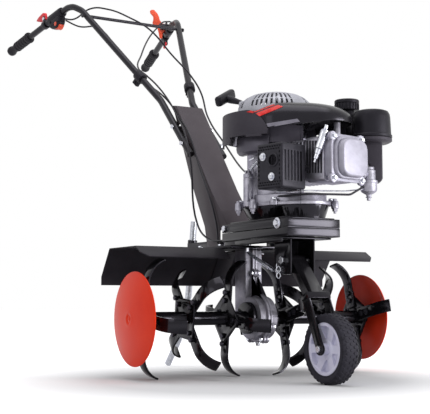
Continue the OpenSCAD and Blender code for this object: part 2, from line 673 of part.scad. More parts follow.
// The arm and fork are one weldment that turns about the pivot bolt
module wheel_fork() color("#1c1b1f") at_axle() difference() {
    pivot = [-pivot_ahead, pivot_z];
    aim = atan2(knee[1] - pivot[1], knee[0] - pivot[0]);
    arm_len = norm(knee - pivot);
    leg_aim = atan2(wheel_z - knee[1], -wheel_ahead - knee[0]);
    leg_len = norm([-wheel_ahead, wheel_z] - knee);
    union() {
        translate([0, pivot[0], pivot[1]]) along_x() cylinder(h = 2 * arm_half + 2, r = 13, center = true);
        translate([0, pivot[0], pivot[1]]) rotate([aim, 0, 0]) translate([-arm_half, 0, -11]) cube([2 * arm_half, arm_len, 22]);
        translate([0, knee[0], knee[1]]) rotate([leg_aim, 0, 0]) {
            translate([-fork_x - leg_t / 2 - 0.5, -13, -leg_w / 2 - 1]) cube([2 * fork_x + leg_t + 1, 16, leg_w + 2]);
            for (s = [-1, 1]) translate([s * fork_x - leg_t / 2, 0, -leg_w / 2]) cube([leg_t, leg_len, leg_w]);
        }
        for (s = [-1, 1]) translate([s * fork_x, -wheel_ahead, wheel_z]) along_x() cylinder(h = leg_t + 1, d = leg_w + 2, center = true);
    }
    translate([-100, pivot[0], pivot[1]]) along_x() cylinder(h = 200, d = pivot_d + 2 * fit);
    translate([-100, -wheel_ahead, wheel_z]) along_x() cylinder(h = 200, d = wheel_bolt_d + 2 * fit);
}
module wheel_bolt() color("#d3d5da") at_axle() translate([0, -wheel_ahead, wheel_z])
    bolt_x(2 * fork_x + leg_t + 1, wheel_bolt_d, 1.6);
module wheel_rim() color("#c9c9dd") at_axle() translate([0, -wheel_ahead, wheel_z]) along_x() {
    difference() {
        union() {
            difference() {
                cylinder(h = tyre_w - 8, r = rim_r, center = true);
                cylinder(h = tyre_w, r = rim_r - 5, center = true);
            }
            cylinder(h = tyre_w + 2 * leg_gap - 2, r = 13, center = true);
            cylinder(h = tyre_w / 2 + 4, r = 19, center = true);
            for (i = [0:spokes - 1]) rotate(i * 360 / spokes) translate([8, -8, -tyre_w / 4])
                cube([rim_r - 10, 16, tyre_w / 2]);
        }
        cylinder(h = 2 * tyre_w, d = wheel_bolt_d + 2 * fit, center = true);
    }
}
module wheel_tyre() color("#3a3844") at_axle() translate([0, -wheel_ahead, wheel_z]) along_x() rotate_extrude() {
    r = 9;
    translate([rim_r, -tyre_w / 2 + r]) square([wheel_r - rim_r, tyre_w - 2 * r]);
    translate([rim_r, -tyre_w / 2 + 3]) square([wheel_r - rim_r - r, tyre_w - 6]);
    for (s = [-1, 1]) translate([wheel_r - r, s * (tyre_w / 2 - r)]) circle(r = r);
}

// ---------- guard, hitch and stake ----------
module guard_side(s) translate([s > 0 ? 0 : -guard_half, 0, 0]) difference() {
    translate([s > 0 ? 12 : 0, 0, 0]) rotate([90, 0, 90]) linear_extrude(height = guard_half - 12) {
        z = deck_z - guard_t;
        polygon([[-lip_front, z - lip_drop], [-guard_front, z], [slope_top, z], [slope_foot, z - slope_drop],
            [slope_foot, z - slope_drop - hem_h], [slope_foot + guard_t, z - slope_drop - hem_h],
            [slope_foot + guard_t, z - slope_drop + 1], [slope_top + guard_t / 2, z + guard_t],
            [-guard_front - guard_t / 2, z + guard_t], [-lip_front - guard_t, z - lip_drop + guard_t]]);
    }
    outer = s > 0 ? guard_half : 0;
    translate([outer, -lip_front - 4, deck_z - 40]) rotate(45) cube([2 * lip_corner, 2 * lip_corner, 100], center = true);
    inner = s > 0 ? -1 : guard_half - deck_half + 1;
    translate([inner, -lip_front - 10, deck_z - 100]) cube([deck_half, lip_front - guard_front + 9, 110]);
    translate([s > 0 ? -1 : guard_half - 36, -60, deck_z - 20]) cube([37, slope_top + 54, 40]);
    for (x = deck_bolt_xs) for (y = deck_bolt_ys) translate([x + (s > 0 ? 0 : guard_half), y, deck_z - 20])
        cylinder(h = 30, d = 8 + 2 * fit);
}
module tine_guards() color("#242327") at_axle() for (s = [-1, 1]) guard_side(s);
module sleeve_frame() translate([0, hitch_back, hitch_z]) rotate([stake_lean, 0, 0]) children();
module hitch_bracket() color("#1c1b1f") at_axle() difference() {
    union() {
        translate([-hitch_beam_w / 2, 152, deck_z]) cube([hitch_beam_w, hitch_back - 152, hitch_beam_w]);
        sleeve_frame() cylinder(h = hitch_h, d = stake_d + 2 * run + 2 * hitch_wall, center = true);
    }
    sleeve_frame() cylinder(h = 2 * hitch_h, d = stake_d + 2 * run, center = true);
    translate([-50, hitch_bore_back, deck_z + hitch_beam_w / 2]) along_x() cylinder(h = 100, d = hitch_bore_d);
}
hitch_bore_back = 260;
foot_back = 472;
foot_len = 95;
foot_lean = 43;
module drag_stake() color("#c3c8ce") at_axle() {
    lean = [0, sin(stake_lean), -cos(stake_lean)];
    down = [0, sin(foot_lean), -cos(foot_lean)];
    mid = [0, hitch_back, hitch_z];
    foot = [0, foot_back, stake_d / 2 * sin(foot_lean)];
    pts = [mid - stake_up * lean, mid + stake_down * lean, foot - foot_len * down, foot];
    for (i = [1:3]) translate(pts[i - 1]) rotate([atan2(pts[i - 1][1] - pts[i][1], pts[i][2] - pts[i - 1][2]), 0, 0])
        cylinder(h = norm(pts[i] - pts[i - 1]), d = stake_d);
    for (i = [1:2]) translate(pts[i]) sphere(d = stake_d + 0.3);
}

// ---------- handlebar ----------
module console() color("#524a51") at_axle() difference() {
    union() {
        for (s = [-1, 1]) translate([s * (console_half - console_t / 2), 0, 0]) slab_x(console_t) polygon(console_side);
        slab_x(2 * console_half) polygon([console_side[0], console_side[9], console_side[8],
            console_side[8] + [3, 0], console_side[9] + [2.5, -1], console_side[0] + [2.5, -1]]);
        slab_x(2 * console_half) polygon([console_side[0], console_side[1], console_side[1] - [2, 3], console_side[0] - [-1, 3]]);
        for (s = [-1, 1]) translate([s * (console_half + 4) - 6, console_side[6][0], deck_top]) cube([12, 56, 3]);
    }
    for (s = [-1, 1]) translate([s * (console_half + 5) - 9, hinge_point[1], hinge_point[2]]) along_x() {
        cylinder(h = 18, d = handle_bolt_d + 2 * fit);
        rotate(slot_aim - tilt_range - 4) rotate_extrude(angle = 2 * tilt_range + 8)
            translate([slot_r - handle_bolt_d / 2 - run, 0]) square([handle_bolt_d + 2 * run, 18]);
    }
}
slot_r = norm(slot_point - hinge_point);
slot_aim = 90 + atan2(slot_point[2] - hinge_point[2], slot_point[1] - hinge_point[1]);
function mirror_x(p, s) = [s * p[0], p[1], p[2]];
handle_line = [handle_low, handle_kink, handle_neck, handle_crest, handle_wrist, handle_end];
module handle_tube() difference() {
    bent_rod(handle_line, handle_d);
    for (p = [hinge_point, slot_point]) translate([-200, p[1], p[2]]) along_x() cylinder(h = 400, d = handle_bolt_d + 2 * fit);
    translate([-400, crossbar_at[1], crossbar_at[2]]) along_x() cylinder(h = 800, d = crossbar_d - 2 + 2 * fit);
}
module handle_right() color("#2c2a2e") at_axle() mirror([1, 0, 0]) handle_tube();
module handle_left() color("#2c2a2e") at_axle() handle_tube();
crossbar_at = handle_kink + crossbar_share * (handle_neck - handle_kink);
clamp_at = handle_kink + clamp_share * (handle_neck - handle_kink);
module crossbar() color("#2a282c") at_axle() translate([0, crossbar_at[1], crossbar_at[2]]) {
    inner = crossbar_at[0] - 1.2 * handle_d / 2;
    outer = crossbar_at[0] + 1.25 * handle_d / 2;
    translate([-inner, 0, 0]) along_x() cylinder(h = 2 * inner, d = crossbar_d);
    translate([-outer, 0, 0]) along_x() cylinder(h = 2 * outer, d = crossbar_d - 2);
    for (s = [-1, 1]) translate([s * (outer + 2), 0, 0]) along_x() cylinder(h = 5, d = 13, center = true, $fn = 6);
}
module cable_clamps() color("#1b1a1c") at_axle() for (s = [-1, 1]) {
    axis = unit(mirror_x(handle_neck - handle_kink, s));
    c = mirror_x(clamp_at, s);
    difference() {
        rod(c - 12 * axis, c + 12 * axis, handle_d + 12);
        rod(c - 20 * axis, c + 20 * axis, handle_d + 2 * fit);
    }
}
module handle_bolts() color("#cfd2d8") at_axle() for (p = [hinge_point, slot_point]) translate(p)
    bolt_x(2 * (handle_low[0] + handle_d / 2), handle_bolt_d, 1.6);
module grips() color("#2f2d31") at_axle() for (s = [-1, 1]) {
    axis = unit(mirror_x(handle_wrist - handle_end, s));
    e = mirror_x(handle_end, s);
    difference() {
        rod(e - grip_cap * axis, e + grip_len * axis, grip_d);
        rod(e, e + 2 * grip_len * axis, handle_d + 2 * fit);
    }
}

// ---------- controls ----------
// Frame of a control: its origin rides on the handle tube, +Y along the tube toward the grip
module on_tube(s, back) {
    v = handle_end - handle_wrist;
    t = back / v[1];
    p = mirror_x(handle_wrist + t * v, s);
    translate(p) rotate([0, 0, -s * atan2(v[0], v[1])]) rotate([atan2(v[2], norm([v[0], v[1]])), 0, 0]) children();
}
pod_back = 66;
module tube_hole() rotate([90, 0, 0]) cylinder(h = 400, d = handle_d + 2 * fit, center = true);
module throttle_housing() color("#222125") at_axle() on_tube(-1, pod_back) difference() {
    union() {
        translate([0, 38, 0]) rotate([90, 0, 0]) cylinder(h = 76, d = handle_d + 12);
        translate([-12, -34, -40]) cube([24, 66, 34]);
        translate([-12, -2, -40]) along_x() cylinder(h = 24, r = 14);
    }
    tube_hole();
    translate([-4.5, -30, -60]) cube([9, 40, 40]);
    translate([-20, -10, -32]) along_x() cylinder(h = 40, d = 6 + 2 * fit);
}
module throttle_lever() color("#d8502c") at_axle() on_tube(-1, pod_back) translate([0, -10, -32]) {
    along_x() cylinder(h = 26, d = 6, center = true);
    along_x() cylinder(h = 8, r = 10, center = true);
    translate([-4, -5, -26]) cube([8, 10, 20]);
}
catch_pivot = [0, 66, 24];
module safety_catch() color("#d01f26") at_axle() on_tube(-1, pod_back) translate(catch_pivot) difference() {
    slab_x(6) union() {
        circle(r = 7);
        polygon([[-4, -6], [26, -2], [48, 10], [20, 16], [-4, 7]]);
    }
    translate([-10, 0, 0]) along_x() cylinder(h = 20, d = 5 + 2 * fit);
}
module clutch_bracket() color("#77777c") at_axle() {
    on_tube(1, 60) {
        difference() {
            rotate([90, 0, 0]) cylinder(h = 34, d = handle_d + 8, center = true);
            tube_hole();
        }
        for (x = [-9, 6]) translate([x, -13, handle_d / 2 + 1]) cube([3, 26, 24]);
        translate([-12, 0, 26]) along_x() cylinder(h = 24, d = 6);
    }
    on_tube(-1, pod_back) {
        difference() {
            translate([0, catch_pivot[1], 0]) rotate([90, 0, 0]) cylinder(h = 16, d = handle_d + 8, center = true);
            tube_hole();
        }
        for (x = [-6.5, 3.5]) translate([x, catch_pivot[1] - 6, handle_d / 2 + 1]) cube([3, 12, 18]);
        translate(catch_pivot - [8, 0, 0]) along_x() cylinder(h = 16, d = 5);
    }
    on_tube(1, 100) {
        difference() {
            rotate([90, 0, 0]) cylinder(h = 16, d = handle_d + 8, center = true);
            tube_hole();
        }
        for (x = [-6.5, 3.5]) translate([x, -6, -handle_d / 2 - 19]) cube([3, 12, 18]);
        translate([-8, 0, -24]) along_x() cylinder(h = 16, d = 5);
    }
}
module clutch_lever() color("#d8502c") at_axle() on_tube(1, 60) translate([0, 0, 26]) difference() {
    along_x() cylinder(h = 11, r = 9, center = true);
    slab_x(9) polygon([[-7, 4], [10, 30], [40, 66], [72, 84], [84, 76], [62, 50], [36, 16], [62, 12], [68, 2],
        [38, -9], [4, -7]]);
    translate([-10, 0, 0]) along_x() cylinder(h = 20, d = 6 + 2 * fit);
}
module lockout_catch() color("#d01f26") at_axle() on_tube(1, 100) translate([0, 0, -24]) difference() {
    slab_x(6) union() {
        circle(r = 6);
        polygon([[-4, -5], [16, -12], [22, -4], [0, 6]]);
    }
    translate([-10, 0, 0]) along_x() cylinder(h = 20, d = 5 + 2 * fit);
}
module throttle_cable() color("#19181a") at_axle() cable(throttle_route, cable_d);
module clutch_cables() color("#19181a") at_axle() {
    cable(clutch_route, cable_d);
    cable(reverse_route, cable_d);
}

// ---------- engine ----------
// Frame of the engine: origin on the crankshaft at the mounting face, cylinder along -Y
module at_crank() translate([0, axle_y - crank_ahead, mount_z]) rotate(engine_turn) children();
module toward_front(s, z = 0) translate([0, -s, z]) rotate([90, 0, 0]) children();
// Rectangle with rounded corners, as one outline
corner_steps = 5;
module rounded(w, h, r) polygon([for (q = [0:3]) for (k = [0:corner_steps])
    [(q == 0 || q == 3 ? 1 : -1) * (w / 2 - r), (q < 2 ? 1 : -1) * (h / 2 - r)]
        + r * [cos(90 * (q + k / corner_steps)), sin(90 * (q + k / corner_steps))]]);
sump_nose_r = 66;
sump_nose = [0, -95];
sump_bolt_places = [[-65, 56], [66, 54], [-72, -66], [55, -132]];
module sump_solid(grow, h) belt_solid(sump_r + grow, sump_nose_r + grow, sump_nose, h);
module sump() color("#b4b6bc") at_crank() difference() {
    union() {
        sump_solid(0, sump_flange_t);
        for (p = sump_bolt_places) translate(p) cylinder(h = sump_flange_t + 5, r = 11);
        sump_solid(-12, sump_h);
        translate(dipstick_at) cylinder(h = dipstick_z, r = 12);
    }
    translate([0, 0, 6]) sump_solid(-18, sump_h);
    translate([0, 0, -1]) cylinder(h = 20, d = crank_d + 2 * run);
    translate(concat(dipstick_at, [8])) cylinder(h = dipstick_z, r = 6);
    for (p = sump_bolt_places) translate([p[0], p[1], -1]) cylinder(h = 40, d = 8 + 2 * fit);
}
dipstick_at = [-86, 8];
dipstick_z = 70;
module dipstick() color("#232225") at_crank() translate(dipstick_at) {
    translate([0, 0, dipstick_z - 50]) cylinder(h = 50, r = 2);
    translate([0, 0, dipstick_z]) cylinder(h = 10, r = 12);
    translate([-10, -2, dipstick_z + 10]) cube([20, 4, 8]);
}
case_up = 158;
post_turns = [25, 155];
post_at = (shroud_r + flywheel_r) / 2 - 2;
head_post = [20, -185];
roof_z = shroud_up + shroud_h - skin_t;
head_start = 150;
core_start = 58;
module cylinder_block() color("#a9abb2") at_crank() difference() {
    union() {
        translate([0, 0, sump_h]) cylinder(h = case_up - sump_h, r = crankcase_r);
        toward_front(core_start, bore_up) linear_extrude(height = head_end - core_start) rounded(cylinder_w, cylinder_w, 12);
        for (i = [0:fins - 1]) toward_front(crankcase_r + 6 + i * (head_start - crankcase_r - 8) / (fins - 1), bore_up)
            linear_extrude(height = fin_t) rounded(fin_w, fin_w, 10);
        toward_front(head_start, bore_up) linear_extrude(height = head_end - head_start) rounded(fin_w, cover_h, 10);
        for (a = post_turns) rotate(a) {
            translate([0, -7, case_up - 8.5]) cube([post_at, 14, 8]);
            translate([post_at, 0, case_up - 8]) cylinder(h = roof_z - run - case_up + 8, r = 8);
        }
        translate([head_post[0], head_post[1], bore_up]) cylinder(h = roof_z - run - bore_up
            - tan(lobe_slope) * (-head_post[1] + 8 - lobe_start), r = 8);
    }
    translate([0, 0, sump_h - 1]) cylinder(h = case_up - sump_h - 9, r = crankcase_r - 8);
    translate([0, 0, sump_h]) cylinder(h = case_up, d = crank_d + 2 * run);
    toward_front(0, bore_up) cylinder(h = head_end - 30, d = 66);
    for (p = cover_bolt_places) toward_front(head_end - 20, bore_up) translate(p) cylinder(h = 30, d = 6 + 2 * fit);
}
cover_bolt_places = [for (x = [-1, 1]) for (z = [-1, 1]) [x * (cover_w / 2 - 9), z * (cover_h / 2 - 9)]];
module rocker_cover() color("#b2b0bc") at_crank() toward_front(head_end, bore_up) difference() {
    union() {
        linear_extrude(height = 5) {
            rounded(cover_w - 6, cover_h - 6, 14);
            for (p = cover_bolt_places) translate(p) circle(r = 9);
        }
        linear_extrude(height = cover_depth - 5) rounded(cover_w - 20, cover_h - 18, 18);
        linear_extrude(height = cover_depth) rounded(cover_w - 28, cover_h - 26, 16);
    }
    translate([0, 0, -1]) linear_extrude(height = cover_depth - 3) rounded(cover_w - 30, cover_h - 28, 14);
    for (p = cover_bolt_places) translate([p[0], p[1], -1]) cylinder(h = 30, d = 6 + 2 * fit);
}
module engine_bolts() color("#d0d2d8") at_crank() {
    for (p = cover_bolt_places) toward_front(head_end - 18, bore_up) translate(p) {
        cylinder(h = 23, d = 6);
        translate([0, 0, 23]) cylinder(h = 5, d = 10);
    }
    for (p = sump_bolt_places) translate([p[0], p[1], 0]) {
        cylinder(h = sump_flange_t + 5, d = 8);
        translate([0, 0, sump_flange_t + 5]) cylinder(h = 5, d = 13, $fn = 6);
    }
    for (p = guard_bolt_places) translate([muffler_left - 4, p[0], p[1]]) along_x() cylinder(h = 4, d = 11);
}
// Muffler on the right-hand side of the cylinder, inside its sheet guard
muffler_left = -70 - muffler_w;
muffler_back = 84;
muffler_low = 30;
muffler_inset = 6;
guard_bolt_places = [[-muffler_back - 22, muffler_low + muffler_h - 30], [-muffler_back - 50, muffler_low + 26]];
outlet_place = [-muffler_back - 54, muffler_low + muffler_h - 40];
module muffler() color("#3c3c46") at_crank() {
    translate([muffler_left + muffler_inset, -muffler_back - muffler_l + muffler_inset, muffler_low + muffler_inset])
        cube([muffler_w - 2 * muffler_inset, muffler_l - 2 * muffler_inset, muffler_h - 2 * muffler_inset]);
    for (p = guard_bolt_places) translate([muffler_left + 1.5, p[0], p[1]]) along_x() cylinder(h = muffler_inset, r = 6);
    translate([muffler_left + muffler_w - muffler_inset - 1, -muffler_back - muffler_l + 14, bore_up - 20]) along_x()
        cylinder(h = 70 - fin_w / 2 + muffler_inset + 0.9, r = 8);
}
module muffler_guard() color("#2e2e36") at_crank() difference() {
    translate([muffler_left, -muffler_back - muffler_l, muffler_low]) cube([muffler_w, muffler_l, muffler_h]);
    translate([muffler_left + 1.5, -muffler_back - muffler_l + 1.5, muffler_low + 1.5])
        cube([muffler_w, muffler_l, muffler_h - 3]);
    for (i = [0:6]) translate([muffler_left + 12 + i * 9, -muffler_back - muffler_l - 1, muffler_low + 14])
        cube([4.5, 4, muffler_h - 28]);
    translate([muffler_left - 1, outlet_place[0], outlet_place[1]]) along_x() cylinder(h = 4, r = 15);
    for (i = [0:3]) for (k = [0:1]) translate([muffler_left - 1, -muffler_back - 12 - i * 17, muffler_low + 8 + k * (muffler_h - 20)])
        cube([4, 9, 4]);
    for (i = [0:3]) translate([muffler_left + 16 + i * 15, -muffler_back - muffler_l + 18, muffler_low + muffler_h - 3])
        cube([6, 44, 5]);
}
module spark_plug() color("#c9c9cc") at_crank() {
    rod([-fin_w / 2 - 0.1, -180, 98], [-fin_w / 2 - 12, -180, 98], 11);
    rod([-fin_w / 2 - 12, -178, 90], [-fin_w / 2 - 8, -200, 158], 13);
}
// Blower shroud: round the flywheel, with a lobe over the cylinder whose roof slopes down
lobe_r = 75;
lobe_at = [20, -135];
lobe_slope = 18;
lobe_start = fan_r + 8;
module shroud_solid(inset, drop) difference() {
    translate([0, 0, -drop]) belt_solid(shroud_r - inset, lobe_r - inset, lobe_at, shroud_h);
    translate([-300, -lobe_start, shroud_h - drop]) rotate([lobe_slope, 0, 0]) translate([0, -400, 0]) cube([600, 400, 200]);
}
module blower_shroud() color("#2b292e") at_crank() translate([0, 0, shroud_up]) difference() {
    shroud_solid(0, 0);
    shroud_solid(skin_t, skin_t);
    cylinder(h = 2 * shroud_h, r = fan_r - 6);
}
fan_z = shroud_up + shroud_h;
fan_wall = 28;
fan_top_r = fan_r - 24;
guide_turn = 110;
guide_z = fan_wall + 12;
module fan_cover() color("#b8bbc6") at_crank() translate([0, 0, fan_z]) difference() {
    union() {
        rotate_extrude() polygon([[fan_r - skin_t, 0], [fan_r, 0], [fan_r, fan_wall], [fan_top_r, fan_h], [0, fan_h],
            [0, fan_h - skin_t], [fan_top_r - skin_t, fan_h - skin_t], [fan_r - skin_t, fan_wall]]);
        rotate(guide_turn) translate([fan_top_r, 0, guide_z]) along_x() cylinder(h = 26, r = 9);
    }
    rotate(guide_turn) translate([fan_top_r - 20, 0, guide_z]) along_x() cylinder(h = 60, r = 4.5 + run);
    for (i = [0:fan_slots - 1]) if (abs(i * 360 / fan_slots - guide_turn) > 13)
        rotate(i * 360 / fan_slots) translate([fan_top_r - 10, -3, fan_wall + 4]) cube([50, 6, fan_h - fan_wall - 12]);
}
fan_blades = 16;
module crankshaft() color("#85878c") at_axle() translate([0, -crank_ahead, 0]) {
    translate([0, 0, belt_z - pulley_h / 2 - 4]) cylinder(h = mount_z + fan_z - belt_z + pulley_h / 2, d = crank_d);
    translate([0, 0, belt_z]) pulley(crank_groove_r, crank_d + 2 * fit);
    translate([0, 0, mount_z + shroud_up + 4]) difference() {
        union() {
            cylinder(h = 16, r = flywheel_r);
            for (i = [0:fan_blades - 1]) rotate(i * 360 / fan_blades) translate([flywheel_r - 30, -1.5, 15]) cube([28, 3, 26]);
        }
        translate([0, 0, -1]) cylinder(h = 20, d = crank_d + 2 * fit);
    }
}
module recoil_grip() color("#2a292c") at_crank() translate([0, 0, fan_z + guide_z]) rotate(guide_turn - 90)
    translate([0, fan_top_r + 10, 0]) {
        bent_rod([[0, 0, 0], [0, 17, 0], [0, 64, 21]], 9);
        translate([0, 66, 22]) rotate([0, -24, 0]) along_x() {
            cylinder(h = 66, d = 19, center = true);
            for (s = [-1, 1]) translate([0, 0, s * 33]) cylinder(h = 14, d = 22, center = true);
        }
    }
tank_low = 168;
cap_at = [123, -127];
module fuel_tank() color("#2b2a2e") at_crank() {
    difference() {
        union() {
            translate([0, 0, tank_low]) tank_solid(0, tank_h);
            translate([cap_at[0], cap_at[1], tank_low + tank_h - 6]) cylinder(h = neck_top - tank_low - tank_h + 6, r = 19);
        }
        translate([0, 0, tank_low + tank_wall]) tank_solid(tank_wall, tank_h - 2 * tank_wall);
        translate([cap_at[0], cap_at[1], tank_low + 20]) cylinder(h = 200, r = 15);
    }
}
tank_h = 56;
tank_wall = 3;
module tank_solid(inset, h) difference() {
    linear_extrude(height = h) polygon([[110, -24 - inset], [148 - inset, -24 - inset], [170 - inset, -44 - inset],
        [170 - inset, -146 + inset], [80, -146 + inset], [80, -60]]);
    translate([0, 0, -1]) belt_solid(shroud_r + run + inset, lobe_r + run + inset, lobe_at, h + 2);
}
neck_top = 241;
module fuel_cap() color("#232225") at_crank() translate([cap_at[0], cap_at[1], neck_top + run]) {
    difference() {
        cylinder(h = 26, r = cap_r);
        translate([0, 0, -1]) cylinder(h = 5, r = cap_r - 4);
        for (i = [0:23]) rotate(i * 15) translate([cap_r + 0.6, 0, -1]) cylinder(h = 30, r = 1.6);
    }
}
filter_at = [128.5, -199.5];
base_top = 163;
base_low = 62;
module air_filter_base() color("#29282c") at_crank() difference() {
    union() {
        translate([filter_at[0], filter_at[1], base_top - 9]) cylinder(h = 9, r = filter_r - 4);
        translate([118, -226, base_low]) cube([40, 54, base_top - base_low]);
    }
    translate([121, -223, base_low + 3]) cube([34, 48, base_top - base_low]);
    translate([117, carb_at[1], 76]) along_x() cylinder(h = 5, r = 10);
}
module air_filter_cap() color("#252129") at_crank() translate([filter_at[0], filter_at[1], base_top]) difference() {
    union() {
        cylinder(h = 8, r = filter_r + 3);
        cylinder(h = filter_h - 6, r1 = filter_r, r2 = filter_r - 4);
        translate([0, 0, filter_h - 6]) cylinder(h = 6, r1 = filter_r - 4, r2 = filter_r - 12);
    }
    translate([0, 0, -1]) cylinder(h = filter_h - 7, r1 = filter_r - 3, r2 = filter_r - 8);
}
carb_at = [92, -195];
module carburettor() color("#a7a9b0") at_crank() {
    translate([fin_w / 2 + 0.1, carb_at[1], 76]) along_x() cylinder(h = carb_at[0] - fin_w / 2, r = 13);
    translate([carb_at[0] - 14, carb_at[1] - 17, 60]) cube([28, 34, 32]);
    translate([carb_at[0] + 10, carb_at[1], 76]) along_x() cylinder(h = 118 - carb_at[0] - 10, r = 13.5);
    translate([carb_at[0], carb_at[1], 32]) cylinder(h = 29, r = 20);
    translate([carb_at[0], carb_at[1], 26]) cylinder(h = 8, r1 = 12, r2 = 19);
    translate([carb_at[0], carb_at[1], 16]) cylinder(h = 12, d = 12, $fn = 6);
}

main_frame();
engine_pan();
chassis_plate();
chassis_bolts();
worm_drive_shaft();
drive_belt();
idler_arm();
idler_pulley();
tension_spring();
worm_wheel();
tine_shaft();
gearbox_case_right();
gearbox_case_left();
rotor_right();
rotor_left();
tines_right();
tines_left();
rotor_bolts();
side_discs();
wheel_tower();
tower_pins();
wheel_fork();
wheel_bolt();
wheel_rim();
wheel_tyre();
tine_guards();
hitch_bracket();
drag_stake();
console();
handle_right();
handle_left();
cable_clamps();
handle_bolts();
grips();
crossbar();
throttle_housing();
throttle_lever();
safety_catch();
clutch_bracket();
clutch_lever();
lockout_catch();
throttle_cable();
clutch_cables();
sump();
cylinder_block();
rocker_cover();
engine_bolts();
spark_plug();
muffler();
muffler_guard();
blower_shroud();
fan_cover();
crankshaft();
recoil_grip();
fuel_tank();
fuel_cap();
air_filter_base();
air_filter_cap();
carburettor();
dipstick();
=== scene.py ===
# %% [markdown]
# # A garden tiller with one front wheel, dressed for its portrait
# The solids of the machine come from its CAD source and are loaded here as a fixed frame. This
# lesson adds what the eye looks for: paint, cast metal, moulded plastic, rounded edges, tread,
# cables and springs. Each piece is placed from the solids' own boxes or from a point in the
# photograph, so nothing has to be fitted by hand.

# %% Load the frame
import bmesh, bpy, json, math
from contextlib import contextmanager
from mathutils import Matrix, Vector
from mathutils.bvhtree import BVHTree
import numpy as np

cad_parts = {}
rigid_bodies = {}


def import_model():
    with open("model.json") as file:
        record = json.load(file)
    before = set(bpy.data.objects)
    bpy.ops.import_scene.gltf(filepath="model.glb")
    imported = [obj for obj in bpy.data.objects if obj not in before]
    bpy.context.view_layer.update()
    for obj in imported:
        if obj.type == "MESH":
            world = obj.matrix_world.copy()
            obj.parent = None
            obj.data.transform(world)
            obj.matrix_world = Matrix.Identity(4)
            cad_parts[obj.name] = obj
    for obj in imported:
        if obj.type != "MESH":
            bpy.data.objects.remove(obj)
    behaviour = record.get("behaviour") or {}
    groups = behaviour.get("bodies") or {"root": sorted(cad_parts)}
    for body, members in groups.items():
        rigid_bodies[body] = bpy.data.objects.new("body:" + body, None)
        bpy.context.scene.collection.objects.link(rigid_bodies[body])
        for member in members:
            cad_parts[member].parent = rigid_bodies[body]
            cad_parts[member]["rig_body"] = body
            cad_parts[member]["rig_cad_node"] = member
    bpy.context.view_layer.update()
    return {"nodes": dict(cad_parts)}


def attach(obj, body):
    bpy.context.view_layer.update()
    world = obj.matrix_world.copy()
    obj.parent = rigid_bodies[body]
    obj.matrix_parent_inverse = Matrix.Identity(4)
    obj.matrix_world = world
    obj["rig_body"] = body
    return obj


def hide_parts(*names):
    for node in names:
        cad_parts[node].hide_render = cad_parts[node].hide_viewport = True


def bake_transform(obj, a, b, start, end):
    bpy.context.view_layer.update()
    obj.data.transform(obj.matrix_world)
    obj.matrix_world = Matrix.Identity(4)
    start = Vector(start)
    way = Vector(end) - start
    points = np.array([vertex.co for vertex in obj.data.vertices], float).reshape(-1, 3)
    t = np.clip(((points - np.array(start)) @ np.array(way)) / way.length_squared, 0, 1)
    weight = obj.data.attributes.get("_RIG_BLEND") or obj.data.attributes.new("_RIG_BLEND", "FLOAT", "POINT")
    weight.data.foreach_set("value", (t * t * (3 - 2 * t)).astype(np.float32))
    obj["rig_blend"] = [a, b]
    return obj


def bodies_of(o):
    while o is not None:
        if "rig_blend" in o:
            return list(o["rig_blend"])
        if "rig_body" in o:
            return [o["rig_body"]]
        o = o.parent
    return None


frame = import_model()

# %% [markdown]
# ## The camera
# The photographer stood to the front and right of the machine, with the lens a little above the
# wheel axle, and looked slightly up. The place and the lens were solved from the two disc
# centres, the wheel nut, the guard corners and the grip ends, so straight edges fall where the
# photograph has them. The frame is 430 by 414 pixels.

# %% Place the camera
photo_w, photo_h = 430, 414
lens_mm, sensor_mm = 86.9, 36.0
camera_place = (-1.4058, -2.6112, 0.190)
look_up, look_round = 95.119, -30.0486
bpy.ops.object.camera_add(location=camera_place,
                          rotation=(math.radians(look_up), 0, math.radians(look_round)))
camera = bpy.context.object
camera.name = "photo_camera"
camera.data.lens = lens_mm
camera.data.sensor_width = sensor_mm
camera.data.sensor_fit = "AUTO"
bpy.context.scene.camera = camera
print("camera at", tuple(round(v, 3) for v in camera.location))

# %% [markdown]
# ## Points in the photograph
# These are pixel places read off the photograph. The camera was solved from points like these, and at the end
# the script finds where each one's feature shows in the finished scene. A point is turned into a place on the
# machine by sending a ray through it: the ray meets whatever surface shows there.

# %% Image points and the ray through them
image_points = {
    "left_edge": (7.5, None), "right_edge": (392.0, None), "top_edge": (None, 1.5),
    "bottom_edge": (None, 387.0),
    "near_disc_centre": (131.6, 319.2), "far_disc_edge": (387.1, None), "wheel_nut": (316.0, 349.7),
    "near_grip_end": (11.2, 51.3), "far_grip_end": (145.0, 69.5), "fuel_cap": (348.5, 107.0),
    "filter_cap": (371.5, 123.0), "recoil_grip": (226.5, 94.6), "near_frame_bolt": (277.6, 223.5),
    "tower_bolt": (283.0, 260.0), "drain_plug": (256.0, 343.8),
    "rear_frame_bolt": (224.9, 232.6), "muffler_outlet": (274.2, 163.2),
}


def photo_ray(x, y):
    """The camera ray through a photograph pixel: its start and its direction."""
    long_side = max(photo_w, photo_h)
    aim = Vector((x - photo_w / 2 + camera.data.shift_x * long_side,
                  photo_h / 2 - y + camera.data.shift_y * long_side,
                  -long_side * camera.data.lens / camera.data.sensor_width))
    bpy.context.view_layer.update()
    return camera.matrix_world.translation.copy(), (camera.matrix_world.to_3x3() @ aim).normalized()


def photo_pixel(place):
    """Where a place in the frame shows in the photograph, in pixels."""
    seen = camera.matrix_world.inverted() @ Vector(place)
    scale = max(photo_w, photo_h) * camera.data.lens / camera.data.sensor_width / -seen.z
    return photo_w / 2 + seen.x * scale, photo_h / 2 - seen.y * scale


print("points read off the photograph:", len(image_points))

